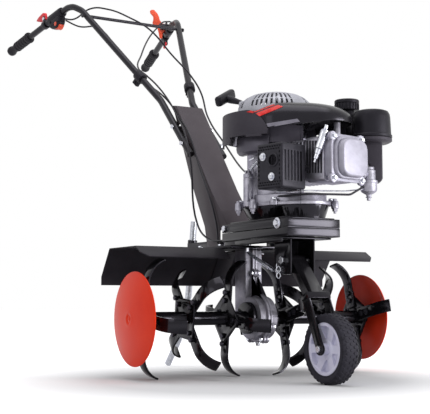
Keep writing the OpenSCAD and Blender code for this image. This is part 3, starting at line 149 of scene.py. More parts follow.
# %% [markdown]
# ## Colours and the one helper for shader nodes
# A colour is written the way a painter's chart or a screen gives it, in hex, and Blender mixes in
# linear light, so every colour goes through one conversion. All the finishes are built from
# shader nodes, and one function adds any of them: its settings are values for its sockets or
# switches, and its links are the outputs that feed its sockets.

# %% Colour and node helpers
def linear(code):
    """A colour written in hex, as the linear colour that Blender's shaders use."""
    parts = [int(code[i:i + 2], 16) / 255 for i in (0, 2, 4)]
    return tuple(p / 12.92 if p <= 0.04045 else ((p + 0.055) / 1.055) ** 2.4 for p in parts) + (1.0,)


def add_node(tree, kind, settings={}, links={}):
    """One shader node with its settings and what feeds it."""
    made = tree.nodes.new("ShaderNode" + kind)
    for key, value in settings.items():
        if isinstance(key, str) and key not in made.inputs:
            setattr(made, key, value)
        else:
            made.inputs[key].default_value = value
    for key, source in links.items():
        tree.links.new(source, made.inputs[key])
    return made


def empty_material(name):
    """A new material with a Principled shader on its output and nothing else."""
    made = bpy.data.materials.new(name)
    made.use_nodes = True
    tree = made.node_tree
    tree.nodes.clear()
    shader = add_node(tree, "BsdfPrincipled")
    add_node(tree, "OutputMaterial", links={"Surface": shader.outputs[0]})
    return made, tree, shader


print("white paper in linear light:", [round(c, 3) for c in linear("f4f4f4")])

# %% [markdown]
# ## Floor, backdrop and lamps
# The machine stands on white paper that runs out of sight. For the camera the paper also glows, and that glow
# is faded out near the machine. The far paper burns out to white, and near the machine a painted shadow is
# left on top of the real soft shadow. A tall soft box to the front right puts the pale sheen on the frame's
# front face, a wide one overhead lights the tops, and a weak one fills the near side.

# %% Floor and backdrop
# Painted shadow: within these distances of this centre the paper's glow is faded out, so the paper shows
# darker round and under the machine.
painted_shadow_centre = (-0.10, -0.50, 0.0)
painted_shadow_core, painted_shadow_edge = 0.34, 0.74  # metres from that centre: no glow within, full glow beyond
paper_glow = 0.75
room_light, seen_light = 0.55, 1.0
bpy.ops.mesh.primitive_plane_add(size=30, location=(0, 0, 0))
floor = bpy.context.object
floor.name = "studio_floor"
paper, tree, shader = empty_material("white_paper")
# The paper's own light grey shows only where the glow is faded out, so it forms the painted shadow near the
# machine.
grain = add_node(tree, "TexNoise", {"Scale": 40, "Detail": 3})
tone = add_node(tree, "ValToRGB", links={0: grain.outputs[0]})
tone.color_ramp.elements[0].color, tone.color_ramp.elements[1].color = linear("d3d3d6"), linear("dadadc")
tree.links.new(tone.outputs[0], shader.inputs["Base Color"])
shader.inputs["Roughness"].default_value = 0.9
shader.inputs["Specular IOR Level"].default_value = 0.0
rays = add_node(tree, "LightPath")
seen = add_node(tree, "Math", {"operation": "MAXIMUM"},
                {0: rays.outputs["Is Camera Ray"], 1: rays.outputs["Is Glossy Ray"]})
place = add_node(tree, "TexCoord").outputs["Object"]
shifted = add_node(tree, "VectorMath", {"operation": "SUBTRACT", 1: painted_shadow_centre}, {0: place})
away = add_node(tree, "VectorMath", {"operation": "LENGTH"}, {0: shifted.outputs[0]})
# This fade paints the shadow: near the machine the paper glows less.
painted_shadow_fade = add_node(tree, "MapRange",
                {"From Min": painted_shadow_core, "From Max": painted_shadow_edge, "To Min": 0.0, "To Max": paper_glow},
                {"Value": away.outputs["Value"]})
glow = add_node(tree, "Math", {"operation": "MULTIPLY"}, {0: seen.outputs[0], 1: painted_shadow_fade.outputs[0]})
tree.links.new(glow.outputs[0], shader.inputs["Emission Strength"])
shader.inputs["Emission Color"].default_value = (1, 1, 1, 1)
floor.data.materials.append(paper)

world = bpy.data.worlds.new("studio")
bpy.context.scene.world = world
world.use_nodes = True
tree = world.node_tree
tree.nodes.clear()
rays = add_node(tree, "LightPath")
seen = add_node(tree, "Math", {"operation": "MAXIMUM"},
                {0: rays.outputs["Is Camera Ray"], 1: rays.outputs["Is Glossy Ray"]})
seen = add_node(tree, "Math", {"operation": "MAXIMUM"},
                {0: seen.outputs[0], 1: rays.outputs["Is Transmission Ray"]})
strength = add_node(tree, "MapRange", {"To Min": room_light, "To Max": seen_light},
                    {"Value": seen.outputs[0]})
sky = add_node(tree, "Background", {"Color": (1, 1, 1, 1)}, {"Strength": strength.outputs[0]})
add_node(tree, "OutputWorld", links={"Surface": sky.outputs[0]})
bpy.context.scene.view_settings.view_transform = "Standard"
print("paper and backdrop set")


# %% Lamps
def soft_box(name, place, target, width, height, power):
    """A rectangular area lamp that faces the target."""
    turn = (Vector(target) - Vector(place)).to_track_quat("-Z", "Y").to_euler()
    bpy.ops.object.light_add(type="AREA", location=place, rotation=turn)
    lamp = bpy.context.object
    lamp.name = name
    lamp.data.shape = "RECTANGLE"
    lamp.data.size, lamp.data.size_y, lamp.data.energy = width, height, power


soft_box("front_right_box", (1.54, -2.74, 0.52), (0, -0.64, 0.37), 1.45, 0.95, 70)
soft_box("top_box", (-0.3, -0.6, 3.0), (0, -0.1, 0.5), 2.2, 2.2, 36)
soft_box("near_side_fill", (-3.2, -1.0, 1.4), (0, -0.2, 0.5), 1.4, 1.8, 14)

# %% [markdown]
# ## Finishes
# Real paint, plastic and metal are never one flat colour. Every finish here has three parts: two
# close tones mixed by large soft patches, a gloss that drifts with the same patches, and a fine
# surface relief at its true scale, orange peel in paint, spark grain in moulded plastic and sand
# in a casting. All patterns are in the object's own millimetres, so they have the same scale on
# each piece.

# %% The common recipe
finishes = {}


def finish(name, tones, patch, gloss, relief, metal=0.0, shine=0.5, pattern="TexNoise"):
    """A finish: two tones, patches of that many millimetres, roughness low and high, and a relief of
    (grain in millimetres, height in millimetres). Shine is how strongly a painted surface mirrors."""
    made, tree, shader = empty_material(name)
    place = add_node(tree, "TexCoord").outputs["Object"]
    patches = add_node(tree, "TexNoise", {"Scale": 1000 / patch, "Detail": 4, "Roughness": 0.6},
                       {"Vector": place})
    tone = add_node(tree, "ValToRGB", links={0: patches.outputs[0]})
    for stop, position, code in zip(tone.color_ramp.elements, (0.32, 0.68), tones):
        stop.position, stop.color = position, linear(code)
    dull = add_node(tree, "MapRange", {"To Min": gloss[0], "To Max": gloss[1]}, {"Value": patches.outputs[0]})
    grain = add_node(tree, pattern, {"Scale": 1000 / relief[0]}, {"Vector": place})
    bump = add_node(tree, "Bump", {"Strength": 1.0, "Distance": relief[1] / 1000},
                    {"Height": grain.outputs[0]})
    shader.inputs["Metallic"].default_value = metal
    shader.inputs["Specular IOR Level"].default_value = shine
    shader.inputs["Specular Tint"].default_value = linear("f1ecff")
    for socket, source in (("Base Color", tone), ("Roughness", dull), ("Normal", bump)):
        tree.links.new(source.outputs[0], shader.inputs[socket])
    finishes[name] = made


# Gloss black enamel on the frame, tines, rotor and wheel arm: nearly a mirror, faint orange peel.
finish("black_enamel", ("0c0b0d", "131215"), 60, (0.11, 0.19), (3.0, 0.015), shine=0.25)
# Satin black powder coat on the tine guards: softer, with a finer and deeper peel.
finish("guard_powder", ("1d1b1f", "252327"), 50, (0.34, 0.46), (1.6, 0.030), shine=0.16)
# Warm dark grey powder coat on the steering console.
finish("console_powder", ("3b3539", "443e42"), 70, (0.36, 0.48), (1.4, 0.030), shine=0.18)
# Black powder coat on the handle tubes.
finish("tube_powder", ("141315", "1b1a1c"), 40, (0.26, 0.38), (1.8, 0.020), shine=0.26)
# Bright zinc plating on bolts, nuts, pins and springs: blue white, slightly cloudy.
finish("bright_zinc", ("b9bbc4", "d6d7dc"), 9, (0.20, 0.36), (0.6, 0.010), metal=1.0)
# Turned steel on shafts and pulleys.
finish("turned_steel", ("7d7e84", "9b9ca1"), 14, (0.22, 0.34), (0.5, 0.008), metal=1.0)
# Wrapped rubber belt.
finish("belt_rubber", ("1c1b1c", "28272a"), 12, (0.62, 0.80), (0.8, 0.060))
# Moulded black plastic with spark grain: housings, caps, the air filter and the tank.
finish("grained_plastic", ("17161a", "1e1d21"), 35, (0.36, 0.50), (0.7, 0.030), shine=0.17)
# Smooth dark grey plastic of the blower shroud, a touch lighter and glossier.
finish("shroud_plastic", ("121114", "18171a"), 60, (0.20, 0.30), (1.2, 0.012), shine=0.26)
# Black moulded plastic of the blower's inner housing, semi-gloss, given grey tones that paint the sheen it
# shows.
finish("housing_plastic", ("45424b", "504d56"), 50, (0.26, 0.36), (0.9, 0.020), shine=0.4)
# The same plastic with a satin grain on the shroud's plain block, so it looks a shade paler.
finish("satin_plastic", ("353238", "3d3a40"), 50, (0.42, 0.54), (0.8, 0.025), shine=0.16)
# Soft black rubber of the grips.
finish("grip_rubber", ("1c1b1d", "262527"), 18, (0.50, 0.66), (0.5, 0.040), shine=0.2)
# Orange moulded plastic of the operating levers.
finish("orange_plastic", ("d9481f", "e4532a"), 22, (0.28, 0.40), (0.7, 0.015))
# Red moulded plastic of the catches.
finish("red_plastic", ("cc1c20", "dc262a"), 18, (0.26, 0.38), (0.7, 0.015))
# Aluminium bronze of the worm wheel.
finish("bronze", ("9a7138", "b58a4c"), 8, (0.26, 0.40), (0.6, 0.015), metal=1.0)
# Sand-cast aluminium of the engine: pale, matt and grainy.
finish("pale_casting", ("87858f", "a5a3ad"), 16, (0.36, 0.52), (0.9, 0.060), metal=0.85)
# Pressure-cast aluminium of the rocker cover: paler and smoother than the sand castings.
finish("cover_casting", ("918f9b", "a3a1ad"), 20, (0.40, 0.52), (0.8, 0.030), metal=0.35, shine=0.3)
# Darker cast alloy of the gearbox.
finish("dark_casting", ("7b7983", "98969f"), 14, (0.36, 0.52), (1.0, 0.080), metal=0.6)
# Orange enamel on the plant guard discs.
finish("disc_enamel", ("d62f12", "dd3818"), 80, (0.28, 0.40), (2.6, 0.020), shine=0.12)
# Pale moulded nylon of the wheel.
finish("wheel_nylon", ("c2c1d6", "cfcee0"), 30, (0.36, 0.48), (0.8, 0.020))
# Tyre rubber: dark, matt, with a grey bloom.
finish("tyre_rubber", ("201f24", "2d2c33"), 22, (0.58, 0.76), (0.7, 0.050), shine=0.2)
# Silver lacquer over plastic on the fan cover.
finish("silver_lacquer", ("97989f", "a4a5ac"), 40, (0.34, 0.44), (0.5, 0.010), metal=0.35)
# Black-oxide steel of the tine bolts: dark, with a faint oily shine.
finish("black_oxide", ("232226", "34333a"), 6, (0.28, 0.42), (0.6, 0.012), metal=0.6)
# Glazed white ceramic of the spark plug.
finish("plug_ceramic", ("e6e4df", "f0eeea"), 20, (0.10, 0.18), (1.5, 0.008))
# Heat-proof grey enamel on the muffler and its guard.
finish("heat_enamel", ("1e1d22", "29282d"), 18, (0.34, 0.50), (0.9, 0.030), shine=0.2)
# Hot-dip galvanising on the drag stake, with its crystal pattern.
finish("galvanising", ("9da0a8", "c6c8ce"), 7, (0.26, 0.44), (4.0, 0.030), metal=0.9, pattern="TexVoronoi")
# Grey vinyl of the pale band on the saddle.
finish("band_film", ("77747f", "85828d"), 20, (0.24, 0.34), (2.0, 0.008), shine=0.3)
# Signal red film of the two stripes on the shroud.
finish("stripe_film", ("cc2319", "d62c20"), 40, (0.24, 0.34), (2.0, 0.008), shine=0.2)
print("finishes:", len(finishes))

# %% [markdown]
# ## Finish for each solid
# A solid whose shape is right keeps it and only gets its finish, put in its own material slots.

# %% Dress the solids
node_finish = {
    "black_enamel": "main_frame engine_pan chassis_plate rotor_right rotor_left tines_right tines_left "
                    "wheel_tower wheel_fork hitch_bracket clutch_bracket",
    "guard_powder": "tine_guards", "console_powder": "console",
    "tube_powder": "handle_right handle_left crossbar",
    "bright_zinc": "chassis_bolts rotor_bolts tower_pins wheel_bolt handle_bolts engine_bolts "
                   "tension_spring idler_arm",
    "turned_steel": "worm_drive_shaft idler_pulley tine_shaft crankshaft",
    "belt_rubber": "drive_belt throttle_cable clutch_cables",
    "grained_plastic": "cable_clamps throttle_housing recoil_grip fuel_tank fuel_cap "
                       "air_filter_base air_filter_cap dipstick",
    "shroud_plastic": "blower_shroud", "grip_rubber": "grips",
    "orange_plastic": "throttle_lever clutch_lever",
    "red_plastic": "safety_catch lockout_catch", "bronze": "worm_wheel",
    "dark_casting": "gearbox_case_right gearbox_case_left",
    "pale_casting": "sump cylinder_block rocker_cover carburettor", "disc_enamel": "side_discs",
    "wheel_nylon": "wheel_rim", "tyre_rubber": "wheel_tyre", "silver_lacquer": "fan_cover",
    "plug_ceramic": "spark_plug", "heat_enamel": "muffler muffler_guard", "galvanising": "drag_stake",
}
for finish_name, names in node_finish.items():
    for name in names.split():
        for place in frame["nodes"][name].material_slots:
            place.material = finishes[finish_name]
dressed = sum(len(names.split()) for names in node_finish.values())
print("solids dressed:", dressed, "of", len(frame["nodes"]))

# %% [markdown]
# ## The modelling bench
# Each piece starts as a primitive and is shaped in edit mode, as by hand. The few moves that come
# back again and again are kept as helpers: turn a round part ring by ring, cut a plate to an
# outline and give it thickness, sweep a tube along a path, and copy a finished part. Every piece
# then has its place baked into its mesh, rides on its body and takes its finish.

# %% Helpers for edit mode
mm = 0.001
axle_y, axle_z = -380.12, 145  # the tine axle, in millimetres


def clear_selection():
    if bpy.context.object and bpy.context.object.mode != "OBJECT":
        bpy.ops.object.mode_set(mode="OBJECT")
    bpy.ops.object.select_all(action="DESELECT")


def pick(piece):
    """Makes one piece the selected and active one."""
    clear_selection()
    piece.select_set(True)
    bpy.context.view_layer.objects.active = piece


@contextmanager
def editing(piece):
    """Edit mode on one piece, with all of it selected at first."""
    pick(piece)
    bpy.ops.object.mode_set(mode="EDIT")
    bpy.ops.mesh.select_all(action="SELECT")
    yield
    bpy.ops.object.mode_set(mode="OBJECT")


def pick_faces(piece, test):
    """In edit mode, selects only the faces whose test is true."""
    bpy.ops.mesh.select_mode(type="FACE")
    bpy.ops.mesh.select_all(action="DESELECT")
    for face in bmesh.from_edit_mesh(piece.data).faces:
        if test(face):
            face.select_set(True)
    bmesh.update_edit_mesh(piece.data)


def drawn_out(height):
    """In edit mode, extrudes what is selected by millimetres along Z."""
    bpy.ops.mesh.extrude_region_move(TRANSFORM_OT_translate={"value": (0, 0, height * mm)})


def repeated(piece, count):
    """Repeats a piece evenly round +Z."""
    with editing(piece):
        bpy.ops.mesh.spin(steps=count - 1, dupli=True, angle=math.radians(360 * (count - 1) / count),
                          center=(0, 0, 0), axis=(0, 0, 1))
    return piece


def settle(piece):
    """Bakes the place, turn and size into the mesh."""
    pick(piece)
    bpy.ops.object.transform_apply(location=True, rotation=True, scale=True)
    return piece


def outward(piece):
    """Merges doubles and turns every face outwards."""
    with editing(piece):
        bpy.ops.mesh.remove_doubles(threshold=0.01 * mm)
        bpy.ops.mesh.normals_make_consistent(inside=False)
    return piece


def modify(piece, kind, **settings):
    """Adds a modifier, sets it and applies it."""
    pick(piece)
    made = piece.modifiers.new(kind, kind)
    for key, value in settings.items():
        setattr(made, key, value)
    bpy.ops.object.modifier_apply(modifier=made.name)
    return piece


def round_edges(piece, width, segments=2, angle=35):
    """Rounds every edge sharper than the angle, in millimetres."""
    return modify(piece, "BEVEL", width=width * mm, segments=segments, limit_method="ANGLE",
                  angle_limit=math.radians(angle), use_clamp_overlap=False)


def turned(name, rings, sides=48, closed=False):
    """A part turned about +Z: rings of (radius, height) in millimetres, from one face to the other.
    A closed one is a hollow ring whose last ring meets its first."""
    clear_selection()
    radius, height = rings[0]
    bpy.ops.mesh.primitive_circle_add(vertices=sides, radius=radius * mm, location=(0, 0, height * mm),
                                      fill_type="NOTHING" if closed else "NGON")
    piece = bpy.context.object
    piece.name = name
    settle(piece)
    with editing(piece):
        for r, z in rings[1:] + (rings[:1] if closed else []):
            if closed:
                bpy.ops.mesh.extrude_edges_move(TRANSFORM_OT_translate={"value": (0, 0, (z - height) * mm)})
            else:
                drawn_out(z - height)
            bpy.ops.transform.resize(value=(r / radius, r / radius, 1), center_override=(0, 0, z * mm))
            radius, height = r, z
    return outward(piece)


def plate(name, outline, thick, low=0.0):
    """A plate cut to an outline of (x, y) points in millimetres, from height low upwards by thick."""
    clear_selection()
    bpy.ops.mesh.primitive_circle_add(vertices=len(outline), radius=1, fill_type="NGON", location=(0, 0, 0))
    piece = bpy.context.object
    piece.name = name
    for corner, (x, y) in zip(piece.data.vertices, outline):
        corner.co = (x * mm, y * mm, low * mm)
    with editing(piece):
        drawn_out(thick)
    return outward(piece)


def bar(name, size, width, segments=3):
    """A rounded bar of this size about the origin, in millimetres."""
    clear_selection()
    bpy.ops.mesh.primitive_cube_add(size=1, scale=[d * mm for d in size])
    piece = bpy.context.object
    piece.name = name
    settle(piece)
    return round_edges(piece, width, segments)


def bent(places, bend, straight=1.56, steps=8):
    """The path with each corner rounded to that radius in metres. A corner whose half angle is over
    straight, in radians, is left as it is."""
    curved = [places[0]]
    for before, corner, after in zip(places, places[1:], places[2:]):
        back, on = (before - corner).normalized(), (after - corner).normalized()
        half = back.angle(on) / 2
        if half > straight:
            curved.append(corner)
            continue
        reach = min(bend / math.tan(half), (before - corner).length * 0.48, (after - corner).length * 0.48)
        centre = corner + (back + on).normalized() * (reach / math.cos(half))
        start, stop = corner + back * reach - centre, corner + on * reach - centre
        for step in range(steps + 1):
            curved.append(centre + start.normalized().slerp(stop.normalized(), step / steps) * start.length)
    return curved + [places[-1]]


def swept(name, path, radius, rounds=12, bend=0, smooth=False):
    """A rod or tube along a path of points in millimetres. Bend rounds its corners to that radius;
    smooth runs one smooth curve through all points."""
    clear_selection()
    bpy.ops.curve.primitive_bezier_curve_add(location=(0, 0, 0))
    line = bpy.context.object
    line.name = name
    shape = line.data
    shape.splines.clear()
    places = [Vector(p) * mm for p in path]
    if bend:
        places = bent(places, bend * mm)
    if smooth:
        spline = shape.splines.new("BEZIER")
        spline.bezier_points.add(len(places) - 1)
        for knot, p in zip(spline.bezier_points, places):
            knot.co, knot.handle_left_type, knot.handle_right_type = p, "AUTO", "AUTO"
    else:
        spline = shape.splines.new("POLY")
        spline.points.add(len(places) - 1)
        for knot, p in zip(spline.points, places):
            knot.co = (*p, 1)
    shape.dimensions, shape.fill_mode, shape.resolution_u = "3D", "FULL", 8
    shape.bevel_depth, shape.bevel_resolution, shape.use_fill_caps = radius * mm, max(1, rounds // 4), True
    pick(line)
    bpy.ops.object.convert(target="MESH")
    return outward(bpy.context.object)


def placed(piece, at=(0, 0, 0), turn=(0, 0, 0)):
    """Moves a piece to its place in millimetres, turned by degrees about X, Y and Z."""
    piece.rotation_euler = [math.radians(a) for a in turn]
    piece.location = Vector(at) * mm
    return settle(piece)


def aimed(piece, at, direction):
    """Stands a piece that was built along +Z at a place, along a direction."""
    piece.rotation_euler = Vector(direction).to_track_quat("Z", "Y").to_euler()
    piece.location = Vector(at) * mm
    return settle(piece)


def copied(piece, name, at=(0, 0, 0), turn=0.0):
    """A copy with its own mesh, turned by degrees about +Z and then moved by millimetres."""
    pick(piece)
    bpy.ops.object.duplicate(linked=False)
    made = bpy.context.object
    made.name = name
    made.data.transform(Matrix.Translation(Vector(at) * mm) @ Matrix.Rotation(math.radians(turn), 4, "Z"))
    return made


def joined(name, parts):
    """Joins parts into one piece."""
    clear_selection()
    for part in parts:
        part.select_set(True)
    bpy.context.view_layer.objects.active = parts[0]
    bpy.ops.object.join()
    parts[0].name = name
    return parts[0]


def around(piece, turns):
    """Copies a piece round +Z to each of these turns, in degrees, and joins the copies."""
    copies = [copied(piece, piece.name + "_%d" % i, turn=a) for i, a in enumerate(turns)]
    bpy.data.objects.remove(piece)
    return joined(copies[0].name, copies)


def cut(piece, tool):
    """Cuts the tool's shape out of the piece and throws the tool away."""
    modify(piece, "BOOLEAN", operation="DIFFERENCE", object=tool, solver="EXACT")
    bpy.data.objects.remove(tool)
    return piece


def done(piece, body, finish_name, stands_for=(), angle=30, across=None):
    """Smooths, dresses and mounts a finished piece. Across is for a cable that bends over a hinge: the
    second body, and the places where the bend starts and ends."""
    settle(piece)
    bpy.ops.object.shade_smooth_by_angle(angle=math.radians(angle))
    piece.data.materials.clear()
    piece.data.materials.append(finishes[finish_name])
    if across:
        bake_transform(piece, body, across[0], start=across[1], end=across[2])
    else:
        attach(piece, body)
    if stands_for:
        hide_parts(*stands_for)
    print(piece.name, "faces", len(piece.data.polygons), "size mm",
          [round(d / mm, 1) for d in piece.dimensions])
    return piece


def body_of(node):
    """The body that a solid belongs to."""
    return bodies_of(frame["nodes"][node])[0]


print("bench ready")

# %% [markdown]
# ## Solids with softened edges
# Steel plate, castings and mouldings never have knife edges. A solid whose form is right is
# copied, its flat triangles are merged back to whole faces, and its sharp edges are rounded, so
# each edge catches a thin line of light as the real one does.

# %% Soften the solids' edges
def solid_copy(node, name):
    """A copy of a solid whose flat triangles are merged back to whole faces."""
    pick(frame["nodes"][node])
    bpy.ops.object.duplicate(linked=False)
    piece = bpy.context.object
    del piece["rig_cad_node"]
    piece.name = name
    outward(piece)
    with editing(piece):
        bpy.ops.mesh.dissolve_limited(angle_limit=math.radians(0.4))
    return piece


soft_edges = [  # finish, material slot, and the solids with the width of their rounding in millimetres
    ("black_enamel", "black_paint",
     "chassis_plate 0.8 engine_pan 1.2 wheel_tower 1.0 wheel_fork 1.0 hitch_bracket 1.5"),
    ("guard_powder", "black_paint", "tine_guards 0.5"), ("console_powder", "console_paint", "console 0.5"),
    ("dark_casting", "cast_alloy", "gearbox_case_right 2.0 gearbox_case_left 2.0"),
    ("pale_casting", "cast_alloy", "sump 1.6 cylinder_block 0.8"),
    ("grained_plastic", "black_plastic", "fuel_tank 3.0"),
    ("heat_enamel", "black_paint", "muffler 3.0"), ("tube_powder", "black_paint", "clutch_bracket 0.6"),
    ("red_plastic", "red_plastic", "lockout_catch 1.2"), ("pale_casting", "black_plastic", "dipstick 0.8"),
    ("black_enamel", "black_paint", "tines_right 0.9 tines_left 0.9 rotor_right 0.8 rotor_left 0.8"),
    ("bright_zinc", "zinc_steel", "chassis_bolts 0.5"), ("black_oxide", "zinc_steel", "rotor_bolts 0.5"),
    ("bright_zinc", "zinc_steel", "tower_pins 0.5 wheel_bolt 0.5 handle_bolts 0.5 engine_bolts 0.5"),
]
for finish_name, slot, solids in soft_edges:
    words = solids.split()
    for node, width in zip(words[::2], words[1::2]):
        piece = round_edges(solid_copy(node, node + "_soft"), float(width))
        done(piece, body_of(node), finish_name, (node,))

# %% [markdown]
# ## Belt guard
# A strip of flat sheet hangs under the deck beside the lower belt run. It closes the gap between
# the frame and the deck that the belt would otherwise show through. It is cut from sheet, and its
# edges are broken.

# %% Belt guard
belt_guard = plate("belt_guard", [(-71, -612), (-69, -612), (-69, -402), (-71, -402)], 12.4, 324.3)
done(round_edges(belt_guard, 0.5), "chassis", "black_enamel")

# %% [markdown]
# ## Strip that joins the two tine guards
# The two guards are folded from sheet and meet behind the gearbox. A folded strip laps under both
# and closes the slot between them, so seen from the front the guards read as one. Its section
# follows the guards' own: a short flat, the slope, and the hem, just inside their faces.

# %% Guard joint strip
strip_section = [(76, 315.8), (130.9, 315.8), (178.85, 247), (178.85, 227),
                 (176.85, 227), (176.85, 246.3), (129.9, 313.8), (76, 313.8)]
strip_width = 48
strip = plate("guard_joint_strip", [(y + axle_y, z) for y, z in strip_section], strip_width, -strip_width / 2)
placed(strip, turn=(90, 0, 90))
done(round_edges(strip, 0.4), "chassis", "guard_powder")

# %% [markdown]
# ## Engine frame: two bars
# The frame is two rectangular tubes, one on the other, welded at their joint line. The solid has
# them as one, so a copy is bisected along that line, each half is closed and its edges are
# rounded, and the narrow groove between them comes by itself.

# %% Frame bars
bars = []
for name, joint_line, keep_low in (("frame_bar_low", 357.6, True), ("frame_bar_high", 358.4, False)):
    half = solid_copy("main_frame", name)
    with editing(half):
        bpy.ops.mesh.bisect(plane_co=(0, 0, joint_line * mm), plane_no=(0, 0, 1), use_fill=True,
                            clear_outer=keep_low, clear_inner=not keep_low)
    bars.append(round_edges(half, 1.7, 3))
for half in bars:
    done(half, "chassis", "black_enamel", ("main_frame",))
weld = plate("frame_weld", [(-72.6, -641.7), (72.6, -641.7), (72.6, -600), (-72.6, -600)], 3, 356.5)
done(weld, "chassis", "black_enamel")

# %% [markdown]
# ## Front wheel: tyre
# The real tyre is moulded rubber with a tread of small lozenge blocks that run over the shoulders.
# A texture could fake them, but the outline of the tyre shows the blocks, so they are modelled.
# The carcass is one closed ring turned about the axle. One tread block is cut as a plate,
# bevelled, set on the carcass and repeated round it, and that is done for each row.

# %% Tyre carcass and tread
wheel_hub = (0, -701.12, 80)
carcass = turned("wheel_tyre_tread", [(60, -18), (60, 18), (64, 20.5), (70, 21.6), (74.5, 20.4), (77, 17),
                                      (78.2, 11), (78.6, 4), (78.6, -4), (78.2, -11), (77, -17),
                                      (74.5, -20.4), (70, -21.6), (64, -20.5)], sides=72, closed=True)
lines = [turned("sidewall_rib", [(r - 0.8, z), (r, z + 0.7 * side), (r + 0.8, z), (r, z - 0.7 * side)],
                72, True) for side in (-1, 1) for r, z in ((63.2, 20.3 * side), (72.6, 21.2 * side))]
block_outline = [(-5.0, 0), (-2.6, -3.1), (2.6, -3.1), (5.0, 0), (2.6, 3.1), (-2.6, 3.1)]
blocks_round = 36
row_places = [(-17.2, 76.2, -38), (-9.8, 78.0, -10), (0, 78.3, 0), (9.8, 78.0, 10), (17.2, 76.2, 38)]
rows = []
for row, (across, radius, lean) in enumerate(row_places):
    block = round_edges(plate("tread_row_%d" % row, block_outline, 2.2, -0.6), 0.5, 1)
    placed(block, (radius, 0, across), (0, 90 - lean, 0))
    placed(block, turn=(0, 0, 180 / blocks_round if row % 2 else 0))
    rows.append(repeated(block, blocks_round))
tyre = placed(joined("wheel_tyre_tread", [carcass] + lines + rows), wheel_hub, (0, 90, 0))
done(tyre, "front_wheel", "tyre_rubber", ("wheel_tyre",))

# %% [markdown]
# ## Front wheel: moulded rim
# The rim is one nylon moulding: a dished web with six wide spokes left standing between wedge
# pockets, a rolled lip and a long hub. The web is turned, the pockets are cut with one wedge
# that is repeated round the axle, and all edges are rounded as a mould leaves them.

# %% Rim
web = turned("wheel_rim_moulding", [(8, -13), (19, -13), (21, -11), (50, -16), (52, -18.6), (59.2, -18.6),
                                    (59.9, -17), (59.9, 17), (59.2, 18.6), (52, 18.6), (50, 16), (21, 11),
                                    (19, 13), (8, 13), (5.2, 13), (5.2, -13)], sides=72, closed=True)
hub = turned("wheel_hub_tube", [(5.2, -25), (12, -25), (13, -24), (13, 24), (12, 25), (5.2, 25)], 48,
             closed=True)
pocket_outline = [(24, -3.2), (48, -16), (51.0, -9), (51.8, 0), (51.0, 9), (48, 16), (24, 3.2)]
spokes = 6
for flip in (180, 0):
    pocket = repeated(round_edges(plate("wheel_pocket", pocket_outline, 16, 5), 1.6), spokes)
    cut(web, placed(pocket, turn=(flip, 0, 0)))
round_edges(web, 0.8)
rim = placed(joined("wheel_rim_moulding", [web, hub]), wheel_hub, (0, 90, 0))
done(rim, "front_wheel", "wheel_nylon", ("wheel_rim",))

# %% [markdown]
# ## Engine: fan cover
# The silver cover over the blower is a moulding with a short wall, a sloping shoulder and a flat
# crown. Its shoulder is cut by groups of slots in two short rows that let the cooling air in. The
# shell is turned as one closed section, so it has a real wall, and the slots are cut through it
# with a pair of small blocks that is repeated round the crankshaft.

# %% Fan cover
crank_foot, engine_turn = (0, -480.12, 414), 12


def on_engine(piece):
    """Sets a piece, built about the crankshaft with the cylinder toward -Y, on the engine."""
    return placed(piece, crank_foot, (0, 0, engine_turn))


outside = [(94, 0), (94, 12), (92, 22), (86, 33), (75, 43), (60, 51), (42, 56), (20, 58), (2, 58)]
inside = [(2, 55.5), (20, 55.5), (41, 53.5), (59, 48.7), (73.5, 41), (84, 31.5), (89.5, 21), (91.5, 11),
          (91.5, 0)]
cover = turned("fan_cover_shell", outside + inside, 96, closed=True)
row_low = plate("slot_low", [(66, -2.6), (104, -2.6), (104, 2.6), (66, 2.6)], 15, 16)
row_high = plate("slot_high", [(56, -2.3), (93, -2.3), (93, 2.3), (56, 2.3)], 14, 34)
slot_turns = [first + 8 * k for first, count in ((187, 9), (283, 9), (19, 9), (131, 5)) for k in range(count)]
cut(cover, around(joined("slot_pair", [row_low, row_high]), slot_turns))
round_edges(cover, 0.7, 2, 40)
boss = turned("cord_guide", [(4.9, 0), (8, 0), (9, 1), (9, 32), (7.5, 34), (4.9, 34)], 32, closed=True)
placed(placed(boss, (64, 0, 40), (0, 90, 0)), turn=(0, 0, 110))
crown = turned("crown_disc", [(24, 57.0), (24, 59.2), (22.5, 60), (9, 60), (8, 61.5), (3, 61.5)])
cover = placed(joined("fan_cover_shell", [cover, boss, crown]), (0, 0, 228))
done(on_engine(cover), "chassis", "silver_lacquer", ("fan_cover",))

# %% [markdown]
# ## Engine: blower shroud
# The black shroud has two forms. A plain upright block wraps the back and the left of the picture,
# with a hanging lip and a notch. A domed saddle swells up round the fan cover and runs forward
# over the cylinder. The block is a plate of the solid's own outline, hollowed from below and cut to
# its front curve. The saddle is a fine grid laid from the outer wall, up and in to the fan cover,
# and given a wall.

# %% Shroud block
def hull_place(angle, extra=0.0):
    """The place on the shroud's outline whose wall faces this way, in millimetres. The outline goes
    round two circles: the blower's and the cylinder's."""
    face = Vector((math.cos(math.radians(angle)), math.sin(math.radians(angle))))
    circles = [(Vector((0, 0)), 132 + extra), (Vector((20, -135)), 75 + extra)]
    centre, radius = max(circles, key=lambda c: c[0].dot(face) + c[1])
    return centre + face * radius


def hull_line(start, stop, extra=0.0, reach=8.0):
    """The outline from one facing to another, with extra places where it runs straight."""
    places = [hull_place(start, extra)]
    for i in range(1, int((stop - start) / 3) + 1):
        goal = hull_place(start + 3 * i, extra)
        parts = max(1, int((goal - places[-1]).length / reach))
        begin = places[-1]
        places += [begin.lerp(goal, (k + 1) / parts) for k in range(parts)]
    return places


def hull_wall(start, stop):
    """The outline of a 3 mm wall along the shroud's edge."""
    return [tuple(p) for p in hull_line(start, stop, -0.5) + hull_line(start, stop, -3.5)[::-1]]


